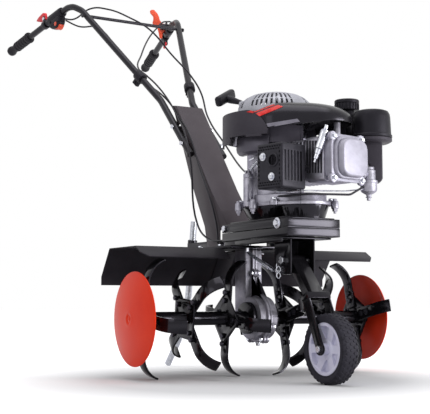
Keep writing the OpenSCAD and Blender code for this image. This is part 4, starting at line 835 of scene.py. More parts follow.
wall_mm = 2.5
right_turn = -45.4  # the picture's right, in degrees about the crankshaft
block = plate("shroud_block", [tuple(p) for p in hull_line(0, 357, -1.0)], 61.4, 166)
with editing(block):
    pick_faces(block, lambda face: face.normal.z < -0.9)
    bpy.ops.mesh.inset(thickness=wall_mm * mm, depth=0)
    drawn_out(58)
cut(block, turned("fan_well", [(82, 200), (82, 260)], 64))
edge_curve = [(-90, 240), (-80, 229.5), (-62, 226.5), (-48, 220), (-36, 210), (-27, 198), (-20, 186),
              (-17, 176), (-16, 140), (210, 140), (210, 240)]
cut(block, placed(plate("front_cut", edge_curve, 190, 40), turn=(90, 0, right_turn)))
side_outline = [(60, -20), (200, -20), (200, -260), (-60, -260), (-60, -95), (60, -95)]
cut(block, plate("side_cut", side_outline, 150, 120))
lip = plate("shroud_lip", hull_wall(126, 168), 16, 151)
chin = plate("shroud_chin", hull_wall(192, 212), 6, 162)
round_edges(block, 2.0, 3)
block = joined("shroud_block", [block, lip, chin])
done(on_engine(block), "chassis", "satin_plastic", ("blower_shroud",))

# %% Shroud saddle
picture_right = Vector((math.cos(math.radians(right_turn)), math.sin(math.radians(right_turn))))
fan_radius = 91
line = hull_line(186, 392, -0.6)
steps = 14
bpy.ops.mesh.primitive_grid_add(x_subdivisions=len(line) - 1, y_subdivisions=steps, size=1)
saddle = bpy.context.object
saddle.name = "shroud_saddle"
for corner in saddle.data.vertices:
    i = round((corner.co.x + 0.5) * (len(line) - 1))
    v = (corner.co.y + 0.5) * steps
    share = i / (len(line) - 1)
    out = line[i]
    if share < 0.5 and out.dot(picture_right) < -14:
        out = out * 0.98  # tucked in behind the block
    swell = min(1, max(0, (out.dot(picture_right) + 84) / 110)) if share < 0.6 else min(1, (1 - share) * 3.3)
    swell = swell * swell * (3 - 2 * swell)
    low = 176 + 18 * min(1, share * 3)
    wall = 206 - 4 * swell
    high = 226.5 + 21 * swell
    if v < 1.5:
        place, z = out, low if v < 0.5 else (low + wall) / 2
    else:
        t = (v - 2) / (steps - 2) * math.pi / 2
        place = out.lerp(out.normalized() * fan_radius, 1 - math.cos(t))
        z = wall + (high - wall) * math.sin(t)
    corner.co = (place.x * mm, place.y * mm, z * mm)
outward(saddle)
modify(saddle, "SOLIDIFY", thickness=wall_mm * mm, offset=-1)
round_edges(saddle, 0.8, 2, 50)
done(on_engine(saddle), "chassis", "shroud_plastic", ("blower_shroud",))

# %% [markdown]
# ## Placing on what is seen
# Stripes and other thin films lie on surfaces that the camera sees. Their corners are places on the
# machine, and each place between them is sent along its camera ray onto the finished pieces that
# carry the film. Where a ray passes by, the place nearest it is taken, so a film never floats.

# %% Ray placement
def seen_place(x, y, carriers):
    """Where the ray through an image place meets the carriers first, in metres."""
    start, aim = photo_ray(x, y)
    hits = []
    for carrier in carriers:
        tree = BVHTree.FromObject(carrier, bpy.context.evaluated_depsgraph_get())
        place, _, _, far = tree.ray_cast(start, aim)
        if place is not None:
            hits.append((far, place))
    if hits:
        return min(hits, key=lambda hit: hit[0])[1]
    corners = [corner.co.copy() for carrier in carriers for corner in carrier.data.vertices]
    return min(corners, key=lambda corner: (corner - start).cross(aim).length)


film_mm, lift_mm = 0.35, 0.9  # a film's thickness, and how far towards the camera it lies off its carrier


def laid_on(name, corners, carriers, along=14, across=5):
    """A thin film laid on the carriers between four places in millimetres, named round its edge."""
    bpy.ops.mesh.primitive_grid_add(x_subdivisions=along, y_subdivisions=across, size=1)
    film = bpy.context.object
    film.name = name
    a, b, c, d = [Vector(photo_pixel(Vector(place) * mm)) for place in corners]
    for corner in film.data.vertices:
        u, v = corner.co.x + 0.5, corner.co.y + 0.5
        x, y = a.lerp(d, u).lerp(b.lerp(c, u), v)
        corner.co = seen_place(x, y, carriers) - photo_ray(x, y)[1] * lift_mm * mm
    return modify(outward(film), "SOLIDIFY", thickness=film_mm * mm, offset=0)


print("fittings can be placed by ray")

# %% [markdown]
# ## Engine: stripes on the shroud
# Two films run from the fan cover's foot over the shroud's shoulder, and a pale band edges the
# saddle below them. On the real machine they are vinyl decals. They are thin laid-on films here,
# so their edges stay crisp, and the lettering on the pale band is left off.

# %% Stripes
low_stripe = [(-106.24, -556.75, 630.2), (-100.01, -564.54, 622.6), (-54.25, -596.1, 645.24),
              (-59.14, -582.19, 651.13)]
high_stripe = [(-118.92, -534.99, 635.84), (-110.16, -550.99, 631.47), (-62.79, -575.25, 651.92),
               (-64.32, -552.4, 657.71)]
pale_band = [(-87.88, -574.34, 604.73), (-82.96, -576.21, 595.33), (-32.11, -633.51, 605.48),
             (-36.61, -629.03, 612.86)]
for name, corners, finish_name, slot in (("shroud_stripe_low", low_stripe, "stripe_film", "red_plastic"),
                                         ("shroud_stripe_high", high_stripe, "stripe_film", "red_plastic"),
                                         ("shroud_band", pale_band, "band_film", "silver_plastic")):
    done(laid_on(name, corners, [block, saddle]), "chassis", finish_name)

# %% [markdown]
# ## Engine: cylinder fins with painted shade
# The barrel behind the rocker cover is cast with cooling fins. From the side they read as pale ridges with
# deep gaps in shade. That shade is painted: narrow dark films are laid on the solid in the gaps, spaced as
# the photograph shows them.

# %% Painted shade in the fin gaps
first_gap = [(-17.47, -637.19, 561.49), (-16.19, -643.05, 560.8), (-16.72, -641.94, 484.49),
             (-17.71, -637.3, 484.93)]
last_gap = [(-8.54, -680.41, 556.4), (-7.33, -686.15, 555.72), (-7.65, -684.64, 480.52),
            (-8.61, -680.12, 480.94)]
gap_count = 6
# Each dark film paints the shade in one gap between the fins.
fin_shade_films = []
for k in range(gap_count):
    share = k / (gap_count - 1)
    corners = [Vector(one).lerp(Vector(other), share) for one, other in zip(first_gap, last_gap)]
    fin_shade_films.append(laid_on("cylinder_fin_gap", corners, [bpy.data.objects["cylinder_block_soft"]], 12, 3))
done(joined("cylinder_fin_gaps", fin_shade_films), "chassis", "heat_enamel")

# %% [markdown]
# ## Engine: skirt and lower housing
# Under the shroud shows the blower's inner housing, a black moulding that bulges round the crankcase in two
# steps; its grey finish paints the sheen on it. Each is an arc of wall, turned about the crankshaft and
# bisected at its two ends.

# %% Inner housing
def arc_of(piece, start, stop):
    """Keeps the part of a turned piece between two turns in degrees, under 180 apart, and closes its ends."""
    with editing(piece):
        for a, side in ((start, -1), (stop, 1)):
            across = (side * -math.sin(math.radians(a)), side * math.cos(math.radians(a)), 0)
            bpy.ops.mesh.select_all(action="SELECT")
            bpy.ops.mesh.bisect(plane_co=(0, 0, 0), plane_no=across, use_fill=True, clear_outer=True)
    return piece


skirt_section = [(95, 194), (95, 160), (97, 152), (100, 150), (101.5, 152), (98.5, 160), (98.5, 194)]
shoulder_section = [(104, 168), (106, 140), (104, 132), (98, 126), (88, 124),
                    (88, 127), (97, 129), (101, 134), (103, 141), (101, 168)]
skirt = arc_of(turned("inner_skirt", skirt_section, 96, closed=True), 196, 268)
shoulder = arc_of(turned("lower_housing", shoulder_section, 96, closed=True), 160, 216)
round_edges(skirt, 0.8, 2, 40)
round_edges(shoulder, 1.0, 2, 40)
# The grey finish stands in for the sheen on black plastic.
done(on_engine(joined("inner_housing", [skirt, shoulder])), "chassis", "housing_plastic")

# %% [markdown]
# ## Engine: starter grip
# The starter handle is a flat moulded bar with rounded ends on a tapered neck that sits in the cord
# guide. The bar starts as a cube, is stretched and rounded, and its faces are divided once more so
# that it shades evenly.

# %% Starter grip
grip_bar = bar("starter_grip", (92, 19, 26), 7.5, 4)
with editing(grip_bar):
    bpy.ops.mesh.subdivide(number_cuts=1)
placed(grip_bar, (0, 66, 22), (0, -24, 0))
neck = turned("grip_neck", [(3, -8), (4.2, 0), (5.5, 10), (6.5, 22), (8, 34), (9.5, 46), (10, 62)], 32)
aimed(neck, (0, 6, 0), (0, 60, 21))
grip_bar = placed(joined("starter_grip", [grip_bar, neck]), (0, 74, 268))
on_engine(placed(grip_bar, turn=(0, 0, 20)))
done(grip_bar, "pull_grip", "grained_plastic", ("recoil_grip",))

# %% [markdown]
# ## Engine: rocker cover
# The bright rocker cover is a pressure casting: a flange with a bolt at each corner, a step, and a
# box with wide round corners. Each tier is an outline with thickness, drawn out from the head. The
# raised letters of the photograph are left off, and the face stays plain.

# %% Rocker cover
def rounded_outline(width, height, corner, steps=6):
    """A rectangle with round corners, as a list of places."""
    places = []
    for quarter, (right, up) in enumerate(((1, 1), (-1, 1), (-1, -1), (1, -1))):
        for k in range(steps + 1):
            a = math.radians(90 * (quarter + k / steps))
            places.append((right * (width / 2 - corner) + corner * math.cos(a),
                           up * (height / 2 - corner) + corner * math.sin(a)))
    return places


def tier(name, width, height, corner, near, far, draft=0.0):
    """One tier of the cover, from near to far along the cylinder, narrowed by the draft."""
    piece = plate(name, rounded_outline(width, height, corner), far - near, near)
    with editing(piece):
        pick_faces(piece, lambda face: face.normal.z > 0.9)
        bpy.ops.transform.resize(value=(1 - draft, 1 - draft, 1), center_override=(0, 0, far * mm))
    return piece


cover_middle = (6, 0, 102)
cover_bolts = [(x * 49, z * 48) for x in (-1, 1) for z in (-1, 1)]
flange = tier("cover_flange", 112, 110, 24, 222, 229)
ears = [placed(turned("cover_ear", [(11.5, 222), (11.5, 228), (10.5, 229.5)], 32), (x, z, 0))
        for x, z in cover_bolts]
step_tier = tier("cover_step", 99, 98, 26, 228.5, 238, 0.02)
box_tier = tier("cover_box", 90, 90, 26, 237.5, 254, 0.04)
round_edges(flange, 1.6)
round_edges(step_tier, 2.4, 3, 30)
round_edges(box_tier, 4.0, 4, 30)
neck_tier = tier("cover_neck", 104, 104, 20, 204.5, 222.2)
rocker = joined("rocker_cover_casting", [flange, step_tier, box_tier, neck_tier] + ears)
bolt_head = turned("cover_bolt", [(7.5, 229.3), (7.5, 230.6), (5.2, 230.8), (5.2, 235), (4.4, 236)], 24)
heads = [copied(bolt_head, "cover_bolt_head", (x, z, 0)) for x, z in cover_bolts]
bpy.data.objects.remove(bolt_head)
heads = joined("cover_bolts", heads)
for piece in (rocker, heads):
    on_engine(placed(piece, cover_middle, (90, 0, 0)))
done(rocker, "chassis", "cover_casting", ("rocker_cover",))
done(heads, "chassis", "bright_zinc")

# %% [markdown]
# ## Engine: spark plug boot, rods and springs
# Over the plug sits a metal-shielded boot that leans back towards the shroud. It is one turned
# shape aimed along the plug. The governor's rods and spring are bent wire, swept along their paths,
# and the rubber fuel line is swept too.

# %% Plug boot
boot_rings = [(3.0, -12), (3.4, -4), (6.2, -3), (6.2, 8), (7.4, 9), (7.4, 20), (9.4, 22), (9.6, 44),
              (9.6, 62), (8.4, 66), (4.5, 68), (4.2, 78)]
boot = aimed(turned("plug_boot", boot_rings, 32), (-61, -190, 103), (0.16, -0.30, 0.94))
done(on_engine(boot), "chassis", "bright_zinc", ("spark_plug",))


# %% Governor rods, spring and fuel line
def coil(name, start, stop, radius, wire, turns):
    """A coil spring between two places in millimetres."""
    start, stop = Vector(start), Vector(stop)
    along = (stop - start).normalized()
    side = along.orthogonal().normalized()
    other = along.cross(side)
    path = []
    for k in range(turns * 12 + 1):
        a = 2 * math.pi * k / 12
        path.append(start.lerp(stop, k / (turns * 12)) + (side * math.cos(a) + other * math.sin(a)) * radius)
    return swept(name, path, wire, 8)


rods = [swept("governor_rod", [(-92, -24, 104), (-104, -40, 96), (-108, -52, 84), (-98, -60, 60)],
              1.6, 8, bend=8),
        swept("governor_link", [(-96, -12, 112), (-110, -20, 108), (-112, -40, 112)], 2.0, 8, bend=6),
        swept("throttle_rod", [(-60, -60, 32), (-66, -160, 28), (30, -198, 30), (94, -207, 40)],
              1.8, 8, bend=20),
        swept("fuel_line", [(-60, -60, 22), (-60, -168, 20), (40, -206, 22), (92, -206, 46)],
              2.6, 10, bend=24),
        coil("governor_spring", (-100, -14, 88), (-106, -44, 104), 3.4, 0.8, 9)]
for rod in rods:
    rubber = rod.name == "fuel_line"
    done(on_engine(rod), "chassis", "belt_rubber" if rubber else "bright_zinc")

# %% [markdown]
# ## Engine: carburettor, filter duct and fuel cap
# The carburettor is a small casting with a bowl, a drain bolt and a choke lever. The filter stands
# beside it on a moulded upright duct, and its cap sits on the duct's collar. The fuel cap is a
# turned knob with grip ribs. Each starts from turned or drawn parts that are joined.

# %% Carburettor
bowl_rings = [(4, 18), (5, 19), (6.5, 26), (12, 29), (18, 33), (20, 38), (20, 54), (21.5, 55), (21.5, 60),
              (17, 61), (17, 84), (14, 86), (14, 92), (6, 92)]
bowl = turned("carburettor_casting", bowl_rings, 40)
drain = turned("drain_bolt", [(4.5, 12), (5, 13), (5, 18.5), (8, 19), (8, 21), (3, 21)], 6)
throat = turned("carburettor_throat", [(13.5, -40), (13.5, 26), (17, 27), (17, 33), (12, 33)], 40)
aimed(throat, (0, 4, 76), (-0.9, -0.1, 0))
lever = plate("choke_lever", [(-4, -4), (24, -3), (30, 0), (30, 6), (22, 6), (-4, 5)], 2.5, 62)
carb = placed(joined("carburettor_casting", [bowl, drain, throat, lever]), (106, -207, 0))
round_edges(carb, 0.6, 2, 40)
done(on_engine(carb), "chassis", "pale_casting", ("carburettor",))

# %% Filter duct and cap
filter_at = (128.5, -199.5, 0)
duct_outline = [(-32, 160), (-32, 104), (-24, 100), (-8, 100), (-8, 66), (2, 58), (20, 58), (24, 66),
                (24, 160)]
duct = round_edges(plate("filter_duct", duct_outline, 46, -23), 3.5, 3)
placed(duct, (132, -196, 0), (90, 0, -45))
collar_rings = [(40, 152), (44.5, 154), (49, 157), (49, 163), (46, 165), (40, 165)]
duct = joined("filter_duct", [duct, placed(turned("filter_collar", collar_rings, 64), filter_at)])
done(on_engine(duct), "chassis", "satin_plastic", ("air_filter_base",))
cap_rings = [(48.5, 165), (49.5, 166), (49.5, 171), (47.5, 173), (47, 180), (45.5, 214), (44, 223),
             (40, 229.5), (32, 232.5), (12, 233.2), (1, 233.2), (1, 168)]
cap = placed(turned("filter_cap", cap_rings, 72), filter_at)
done(on_engine(cap), "chassis", "grained_plastic", ("air_filter_cap",))

# %% Fuel cap
knob_rings = [(27, 241.4), (29, 242.5), (29, 258), (30.5, 260), (30.5, 266), (29, 268), (26, 268.4),
              (24, 266.5), (3, 266.5)]
knob = turned("fuel_cap_knob", knob_rings, 64)
ribs = around(placed(bar("cap_rib", (2.4, 3.4, 15), 0.8, 2), (29.4, 0, 250.5)), range(0, 360, 15))
knob = placed(joined("fuel_cap_knob", [knob, ribs]), (123, -127, 0))
done(on_engine(knob), "tank_cap", "grained_plastic", ("fuel_cap",))

# %% [markdown]
# ## Engine: castings round the base
# The crankcase stands on a flange with bosses and studs. Two thin sloping webs stiffen the oil
# filler. Each web is a plate cut to its outline, and one stud is turned and copied.

# %% Webs and studs
webs = [placed(plate("filler_web", outline, 5, -2.5), at, (90, 0, turn))
        for outline, at, turn in (([(-34, 12), (-10, 12), (-4, 92), (-12, 92)], (-78, 14, 0), 38),
                                  ([(8, 12), (40, 12), (12, 96), (8, 96)], (-86, 8, 0), -35))]
web = round_edges(joined("filler_web", webs), 1.2)
done(on_engine(web), "chassis", "pale_casting")
nut_rings = [(3, -15), (3.4, -14.4), (3.4, -10), (6.4, -9.8), (6.4, -4.6), (8.2, -4.4), (8.2, -3), (3.4, -3)]
nut = turned("stud_nut", nut_rings, 6)
boss = turned("stud_boss", [(3.4, -3), (8.4, -3), (9, -2), (8.6, 13), (7.4, 15), (3.4, 15)], 28)
tip = turned("stud_tip", [(5.8, 15), (5.8, 19), (4.6, 20), (3, 20.4)], 6)
one_stud = joined("base_stud", [nut, boss, tip])
stud_places = [(-96, -18), (-84, 44), (-30, -116), (44, -154), (74, -92)]
studs = [copied(one_stud, "base_stud_%d" % i, (x, y, -4)) for i, (x, y) in enumerate(stud_places)]
bpy.data.objects.remove(one_stud)
done(on_engine(joined("base_studs", studs)), "chassis", "pale_casting")

# %% [markdown]
# ## Muffler guard
# The guard is pressed from sheet: tall slots on the front, rows of small holes and a round baffled
# outlet on the side, and two big bolts. The box is opened on its hidden side, and the slots and
# holes are cut with repeated blocks that have rounded edges.

# %% Guard box
def block_at(name, size, at, width=2.0, segments=2, turn=0.0):
    """A rounded bar set at a place, turned about Z."""
    return placed(bar(name, size, width, segments), at, (0, 0, turn))


guard_side, outlet_y, outlet_z = -148, -138, 94  # the outer side wall, and where the outlet opens in it
guard = block_at("muffler_guard_box", (80, 82, 104), (-108, -125, 82), 5, 3)
cut(guard, block_at("guard_hollow", (92, 79, 101), (-100.5, -125, 82), 4))
cutters = [block_at("guard_slot", (5.4, 14, 70), (-137 + 10.4 * k, -165, 82), 2.2) for k in range(6)]
cutters += [block_at("guard_slot", (6, 22, 14), (-134 + 12 * k, -146, 30)) for k in range(5)]
for row, z in enumerate((38, 44, 120, 126)):
    for k in range(9):
        at = (guard_side, -92 - 8.0 * k - 4 * (row % 2), z)
        cutters.append(block_at("guard_hole", (14, 5.0, 3.4), at, 1.2))
for k in range(7):
    for y in (-92, -158):
        cutters.append(block_at("guard_hole", (14, 3.4, 6.0), (guard_side, y, 52 + 10 * k), 1.2))
cut(guard, joined("guard_cutters", cutters))
mouth = turned("guard_mouth", [(15, -8), (15, 8)], 40)
cut(guard, aimed(mouth, (guard_side, outlet_y, outlet_z), (1, 0, 0)))
ring = turned("outlet_ring", [(12.5, 0), (15.5, 0), (16.5, 1.5), (15.5, 3), (12.5, 3)], 40, closed=True)
aimed(ring, (guard_side + 0.5, outlet_y, outlet_z), (-1, 0, 0))
baffles = [block_at("outlet_baffle", (8, 2.0, 24), (-143, -147 + 6 * k, outlet_z), 0.6, 1, 25)
           for k in range(4)]
guard = joined("muffler_guard_box", [guard, ring] + baffles)
done(on_engine(guard), "chassis", "heat_enamel", ("muffler_guard",))
bolt = turned("guard_bolt", [(9.5, 0), (9.5, 1.6), (6.2, 1.8), (6.2, 6), (5, 7)], 24)
for name, y, z in (("guard_bolt_high", -106, 104), ("guard_bolt_low", -134, 56)):
    one = aimed(copied(bolt, name), (guard_side - 0.2, y, z), (-1, 0, 0))
    done(on_engine(one), "chassis", "bright_zinc")
bpy.data.objects.remove(bolt)

# %% [markdown]
# ## Handlebar tubes
# Each handle is one steel tube bent in a jig: a kink above the console, a long run, and a tight
# crest at the top that turns it down to the grip. A curve with a round section follows the same
# bends as the solid, with the bender's radius at each corner.

# %% Handle tubes
tube_path = [(52, 242, 587), (52, 422, 766), (170, 738, 1094), (184, 775, 1114), (191, 806, 1117),
             (255, 1153, 1041)]


def world_path(path, side=1):
    """Route points of the part's source, on the machine: mirrored for the near side."""
    return [(side * x, y + axle_y, z) for x, y, z in path]


for side, node in ((-1, "handle_right"), (1, "handle_left")):
    tube = swept(node + "_tube", world_path(tube_path, side), 10, 24, bend=70)
    done(tube, body_of(node), "tube_powder", (node,), 50)

# %% [markdown]
# ## Grips
# The rubber grips are moulded round bodies of changing width: a knob at the end, a waist, a row of
# finger rings and a flange in front of the thumb. That is a turned shape, aimed along the tube.

# %% Grips
rings = [(4, -8), (11, -7.4), (15, -4.5), (16.4, 1), (15.8, 8), (13.6, 13), (12.9, 22), (13.4, 34)]
for k in range(5):
    rings += [(16.0, 38 + 14 * k), (17.0, 42 + 14 * k), (16.8, 46 + 14 * k), (14.2, 50 + 14 * k)]
rings += [(14.4, 108), (17.0, 111), (18.6, 116), (18.6, 120), (17, 123), (10.2, 124)]
grip_bodies = []
for side, name in ((-1, "grip_near"), (1, "grip_far")):
    end, wrist = [Vector(p) for p in world_path([tube_path[-1], tube_path[-2]], side)]
    grip_bodies.append(aimed(turned(name, rings, 40), end, wrist - end))
done(joined("hand_grips", grip_bodies), body_of("grips"), "grip_rubber", ("grips",))

# %% [markdown]
# ## Control cables
# The cables are Bowden cables, held at both ends and clipped to the tubes, so they keep one smooth
# curve each. A smooth curve runs through the route points of the solids. Where they cross the
# handlebar hinge they bend: below it they stay with the chassis, above it they follow the tubes.

# %% Cables
throttle_route = [(-196, 831, 1087), (-176, 786, 1078), (-146, 735, 1102), (-115, 667, 1089),
                  (-75, 592, 1050), (-30, 541, 1006), (30, 512, 930), (76, 478, 865), (97, 455, 815),
                  (97, 411, 732), (90, 300, 635), (40, 125, 541), (-10, 0, 508), (-24, -33, 500)]
clutch_route = [(200, 853, 1137), (160, 829, 1123), (120, 797, 1088), (80, 762, 1050), (0, 662, 957),
                (-54, 570, 890), (-54, 515, 858), (-47, 461, 820), (-44, 382, 755), (-47, 324, 699),
                (-58, 267, 652), (-66, 220, 574), (-62, 186, 392), (-61, 130, 350), (-61, 38, 340)]
reverse_route = [(-186, 833, 1083), (-160, 792, 1058), (-130, 700, 1035), (-92, 600, 925), (-64, 530, 845),
                 (-40, 474, 806), (-38, 425, 777), (-39, 380, 746), (-42, 332, 708), (-47, 262, 648),
                 (-48, 205, 556), (-48, 110, 389), (-50, 96, 327)]
hinge_low, hinge_high = [tuple(p) for p in world_path([(0, 235, 595), (0, 335, 705)])]


def cable(name, route):
    """One cable along its route."""
    return swept(name, world_path(route), 2.6, smooth=True)


throttle_line = cable("throttle_cable_run", throttle_route)
clutch_lines = [cable("clutch_cable_run", clutch_route), cable("reverse_cable_run", reverse_route)]
clutch_pair = joined("clutch_cable_runs", clutch_lines)
for lines, node in ((throttle_line, "throttle_cable"), (clutch_pair, "clutch_cables")):
    done(lines, "chassis", "tube_powder", (node,), 50, ("handlebar", hinge_low, hinge_high))
print("cables bend between", [round(c, 3) for c in hinge_low], "and", [round(c, 3) for c in hinge_high])

# %% [markdown]
# ## Controls on the handles
# The near tube carries the speed control: a barrel round the tube, an oval pod below it and an
# orange thumb band, with the red catch behind. The far tube carries the orange drive lever. Each
# is built flat in the tube's own frame, then turned and set on the tube as the solid is.

# %% Frame of the grip tube
pod_back, bracket_back = 66, 62  # how far behind the wrist the controls sit, in millimetres


def on_grip_tube(piece, side, back):
    """Sets a piece built about the grip tube (+Y towards the grip, +Z up) that far from the wrist."""
    end, wrist = Vector(tube_path[-1]), Vector(tube_path[-2])
    run = end - wrist
    at = wrist + run * (back / run.y)
    climb = math.degrees(math.atan2(run.z, math.hypot(run.x, run.y)))
    return placed(piece, (side * at.x, at.y + axle_y, at.z),
                  (climb, 0, -side * math.degrees(math.atan2(run.x, run.y))))


def upright(piece):
    """Turns a flat plate so its outline lies along the tube and up."""
    return placed(piece, turn=(90, 0, 90))


# %% Speed control pod
barrel_rings = [(10.3, -40), (13.6, -39.6), (15.6, -37), (16.4, -30), (16.6, 26), (15.4, 34), (13.4, 37.6),
                (10.3, 38)]
barrel = aimed(turned("pod_barrel", barrel_rings, 40), (0, 0, 0), (0, 1, 0))
pod_outline = [(32, -6), (34, -16), (30, -28), (20, -37), (6, -43), (-8, -45.5), (-20, -42.5), (-29, -33),
               (-33, -20), (-33, -6)]
pod = round_edges(plate("pod_body", pod_outline, 27, -13.5), 6.5, 4, 50)
cut(pod, plate("pod_slot", [(30, -29.5), (31, -31), (-30, -31), (-30, -29.5)], 40, -20))
upright(pod)
screw_rings = [(4.2, 0), (4.6, 1), (3.4, 2.6), (1.5, 3)]
screw = aimed(turned("pod_screw", screw_rings, 20), (-13.4, 20, -14), (-1, 0, 0))
pod = on_grip_tube(joined("speed_pod", [barrel, pod, screw]), -1, pod_back)
done(pod, "handlebar", "grained_plastic", ("throttle_housing",))
band = [(-10 + radius * math.cos(math.radians(a)), -32 + radius * math.sin(math.radians(a)))
        for radius, angles in ((17.5, range(205, 340, 9)), (12.5, range(336, 200, -9))) for a in angles]
thumb = upright(round_edges(plate("thumb_band", band, 18, -9), 1.6, 3))
spigot_rings = [(5, -15), (6.5, -14.6), (6.5, 14.6), (5, 15)]
spigot = aimed(turned("thumb_spigot", spigot_rings, 28), (0, -10, -32), (1, 0, 0))
thumb = on_grip_tube(joined("speed_thumb_band", [thumb, spigot]), -1, pod_back)
done(thumb, "speed_lever", "orange_plastic", ("throttle_lever",))

# %% Red catch
catch_outline = [(-7, -7), (6, -9), (28, -2), (47, 8), (46, 11), (30, 17), (4, 20), (-7, 15)]
catch = upright(round_edges(plate("red_catch", catch_outline, 11, -5.5), 2.6, 3))
on_grip_tube(placed(catch, (0, 66, 24)), -1, pod_back)
done(catch, "dead_man_catch", "red_plastic", ("safety_catch",))
pivot_rings = [(5.4, -9), (5.4, -7), (4, -6.8), (4, 6.8), (5.4, 7), (5.4, 9)]
pivot = aimed(turned("catch_pivot", pivot_rings, 24), (0, 66, 20), (1, 0, 0))
done(on_grip_tube(pivot, -1, pod_back), "handlebar", "bright_zinc")

# %% Drive lever
lever_outline = [(-39, 46), (-41, 54), (-34, 59), (-26, 58), (-15, 46), (-9, 34), (-6, 22), (2, 11),
                 (24, 6), (25, -6), (12, -15), (3, -26), (2, -41), (-7, -42), (-11, -20), (-16, -3),
                 (-28, 5), (-32, 12), (-29, 22), (-29, 34)]
drive = round_edges(plate("drive_lever_plate", lever_outline, 9, -4.5), 2.4, 3, 40)
knob = turned("drive_hub", [(7, -8), (9, -7), (9, 7), (7, 8)], 32)
drive = placed(joined("drive_lever_plate", [drive, knob]), (184, 502.5, 1124), (90, 0, -30))
done(drive, "drive_lever", "orange_plastic", ("clutch_lever",))
arm = on_grip_tube(placed(bar("drive_bracket", (40, 20, 16), 3), (-8, -4, 16)), 1, bracket_back)
stem = aimed(turned("drive_pin", [(4, -16), (4, 16)], 20), (184, 502.5, 1123), (0.5, 0.866, 0))
done(joined("drive_bracket", [arm, stem]), "handlebar", "tube_powder")

# %% Tube clamps
kink, top = Vector(tube_path[1]), Vector(tube_path[2])
clamp_rings = [(10.3, -14), (15.5, -14), (16.4, -12), (16.4, 12), (15.5, 14), (10.3, 14)]
for name, side, share in (("tube_clamp_near", -1, 0.25), ("tube_clamp_far", 1, 0.185)):
    at, run = kink.lerp(top, share), top - kink
    ring = turned(name, clamp_rings, 36, closed=True)
    lug = placed(bar("clamp_lug", (13, 18, 22), 2.5), (0, -20, 0))
    bolt = aimed(turned("clamp_bolt", [(4, -9.5), (4.4, -9), (4.4, 9), (4, 9.5)], 6), (0, -22, 0), (1, 0, 0))
    ring = joined(name, [ring, lug, bolt])
    aimed(ring, (side * at.x, at.y + axle_y, at.z), (side * run.x, run.y, run.z))
    done(ring, body_of("cable_clamps"), "grained_plastic", ("cable_clamps",))

# %% [markdown]
# ## Plant guard discs
# The orange discs are spun from sheet: a shallow dish with a rolled rim and a pressed centre. One
# closed section turned about the axle gives the dish, its rim and its wall at once.

# %% Discs
disc_out = 337
dish = [(1, 13.2), (4, 13.2), (6, 12.2), (9, 12.0), (11.5, 13.6), (14.5, 14.2), (18, 13.6), (24, 13.0),
        (40, 12.0), (60, 9.9), (80, 6.9), (95, 4.0), (106, 1.6), (110, 0.6), (112.2, -0.5), (112.5, -1.8),
        (111.4, -2.8), (109.4, -2.4), (106, -0.8), (95, 1.8), (80, 4.8), (60, 7.9), (40, 10.0), (24, 11.0),
        (12, 11.2), (1, 11.2)]
stub_rings = [(12.5, -60), (12.5, -9.7), (17, -9.7), (17, 10.4), (12.5, 10.9)]
discs, stubs = [], []
for side in (-1, 1):
    at, turn = (disc_out * side, axle_y, axle_z), (0, 90 * side, 0)
    discs.append(placed(turned("guard_disc", dish, 128, closed=True), at, turn))
    stubs.append(placed(turned("disc_stub", stub_rings, 40), at, turn))
done(joined("guard_discs", discs), body_of("side_discs"), "disc_enamel", ("side_discs",))
done(joined("disc_stubs", stubs), body_of("side_discs"), "black_enamel")

# %% [markdown]
# ## Retaining clip
# A bent wire clip keeps the wheel arm's pin in place. It is one swept wire on the pin's end, bent in
# the plane that faces the camera.

# %% Pin clip
pin_end = Vector((-37.03, -546.22, 257.48))
bends = [(0, 13), (-4, 8), (-4, 2), (3, -5), (4, -12), (0, -16), (-4, -12), (-3, -5), (4, 2), (4, 8), (1, 12)]
clip_path = [(pin_end.x + 0.866 * u - 2, pin_end.y - 0.5 * u - 4, pin_end.z + w) for u, w in bends]
done(swept("pin_clip", clip_path, 1.2, 10, smooth=True), "chassis", "bright_zinc")

# %% [markdown]
# ## Where the points show in the picture
# For each point read off the photograph, the script finds where its feature shows in the finished scene. Only
# vertices that the camera really sees count. The object's edges come from the outermost ones, cables left
# out, and a feature's place is the middle of what shows of it.

# %% Where each point shows
bpy.context.view_layer.update()
watch = bpy.context.evaluated_depsgraph_get()
eye = camera.matrix_world.translation
samples = 4000  # about how many vertices are looked at on a big piece
near_miss = 0.003  # metres: a hit this close in front of a vertex is its own surface
hub_reach, grip_face = 0.0125, 0.764  # metres: a disc's pressed centre, and where the grips' end faces lie


def shown_pixels(names, test=lambda place: True):
    """Photograph pixels of the vertices of these pieces that the camera sees."""
    found = []
    for name in names:
        piece = bpy.data.objects[name]
        step = max(1, len(piece.data.vertices) // samples)
        for corner in list(piece.data.vertices)[::step]:
            if not test(corner.co):
                continue
            away = corner.co - eye
            hit, place, _, _, _, _ = bpy.context.scene.ray_cast(watch, eye, away.normalized())
            if not hit or (place - eye).length > away.length - near_miss:
                found.append(photo_pixel(corner.co))
    return found


def middle(pixels):
    """The middle of the box round these pixels."""
    xs, ys = [p[0] for p in pixels], [p[1] for p in pixels]
    return (min(xs) + max(xs)) / 2, (min(ys) + max(ys)) / 2


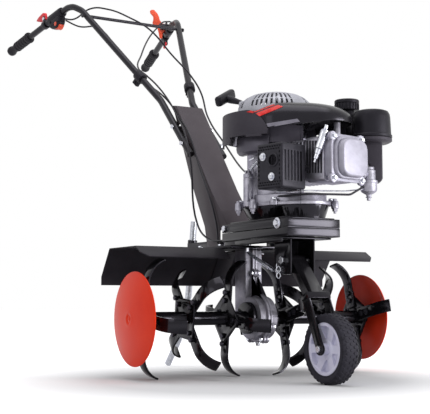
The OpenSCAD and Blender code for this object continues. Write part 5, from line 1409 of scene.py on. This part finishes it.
edge_pieces = ["hand_grips", "filter_cap", "filter_duct", "guard_discs", "tines_left_soft",
               "tines_right_soft", "wheel_tyre_tread", "handle_right_tube", "handle_left_tube", "speed_pod"]
outer = shown_pixels(edge_pieces)


def bolt_near(x, y, reach):
    """A test for the vertices of one bolt of a set: those within reach pixels of the point."""
    def test(place):
        px, py = photo_pixel(place)
        return abs(px - x) < reach and abs(py - y) < reach
    return test


def hub_of_disc(p):
    """Whether a vertex is on the pressed centre of a disc."""
    return (Vector((p.y, p.z)) - Vector((axle_y, axle_z)) * mm).length < hub_reach


def on_grip_end(side):
    """A test that keeps the end face of one grip."""
    return lambda p: p.x * side > 0.25 and p.y > grip_face


def cord_end(p):
    """Whether a vertex is on the outer part of the starter grip, where its point is."""
    return photo_pixel(p)[0] < image_points["recoil_grip"][0] + 13.5


far_rim = [v.co for v in bpy.data.objects["guard_discs"].data.vertices if v.co.x > 0]
shown = {
    "left_edge": (min(p[0] for p in outer), None), "right_edge": (max(p[0] for p in outer), None),
    "top_edge": (None, min(p[1] for p in outer)), "bottom_edge": (None, max(p[1] for p in outer)),
    "near_disc_centre": middle(shown_pixels(["guard_discs"], lambda p: p.x < 0 and hub_of_disc(p))),
    "far_disc_edge": (max(photo_pixel(v)[0] for v in far_rim), None),
    "near_grip_end": middle(shown_pixels(["hand_grips"], on_grip_end(-1))),
    "far_grip_end": middle(shown_pixels(["hand_grips"], on_grip_end(1))),
    "fuel_cap": middle(shown_pixels(["fuel_cap_knob"])), "filter_cap": middle(shown_pixels(["filter_cap"])),
    "recoil_grip": middle(shown_pixels(["starter_grip"], cord_end)),
    "muffler_outlet": middle(shown_pixels(["muffler_guard_box"],
                                          bolt_near(*image_points["muffler_outlet"], 5.5))),
}
for name, piece_name in (("wheel_nut", "wheel_bolt_soft"), ("near_frame_bolt", "chassis_bolts_soft"),
                         ("tower_bolt", "tower_pins_soft"), ("drain_plug", "chassis_bolts_soft"),
                         ("rear_frame_bolt", "chassis_bolts_soft")):
    seen_of_it = shown_pixels([piece_name], bolt_near(*image_points[name], 8))
    shown[name] = middle(seen_of_it) if seen_of_it else (None, None)
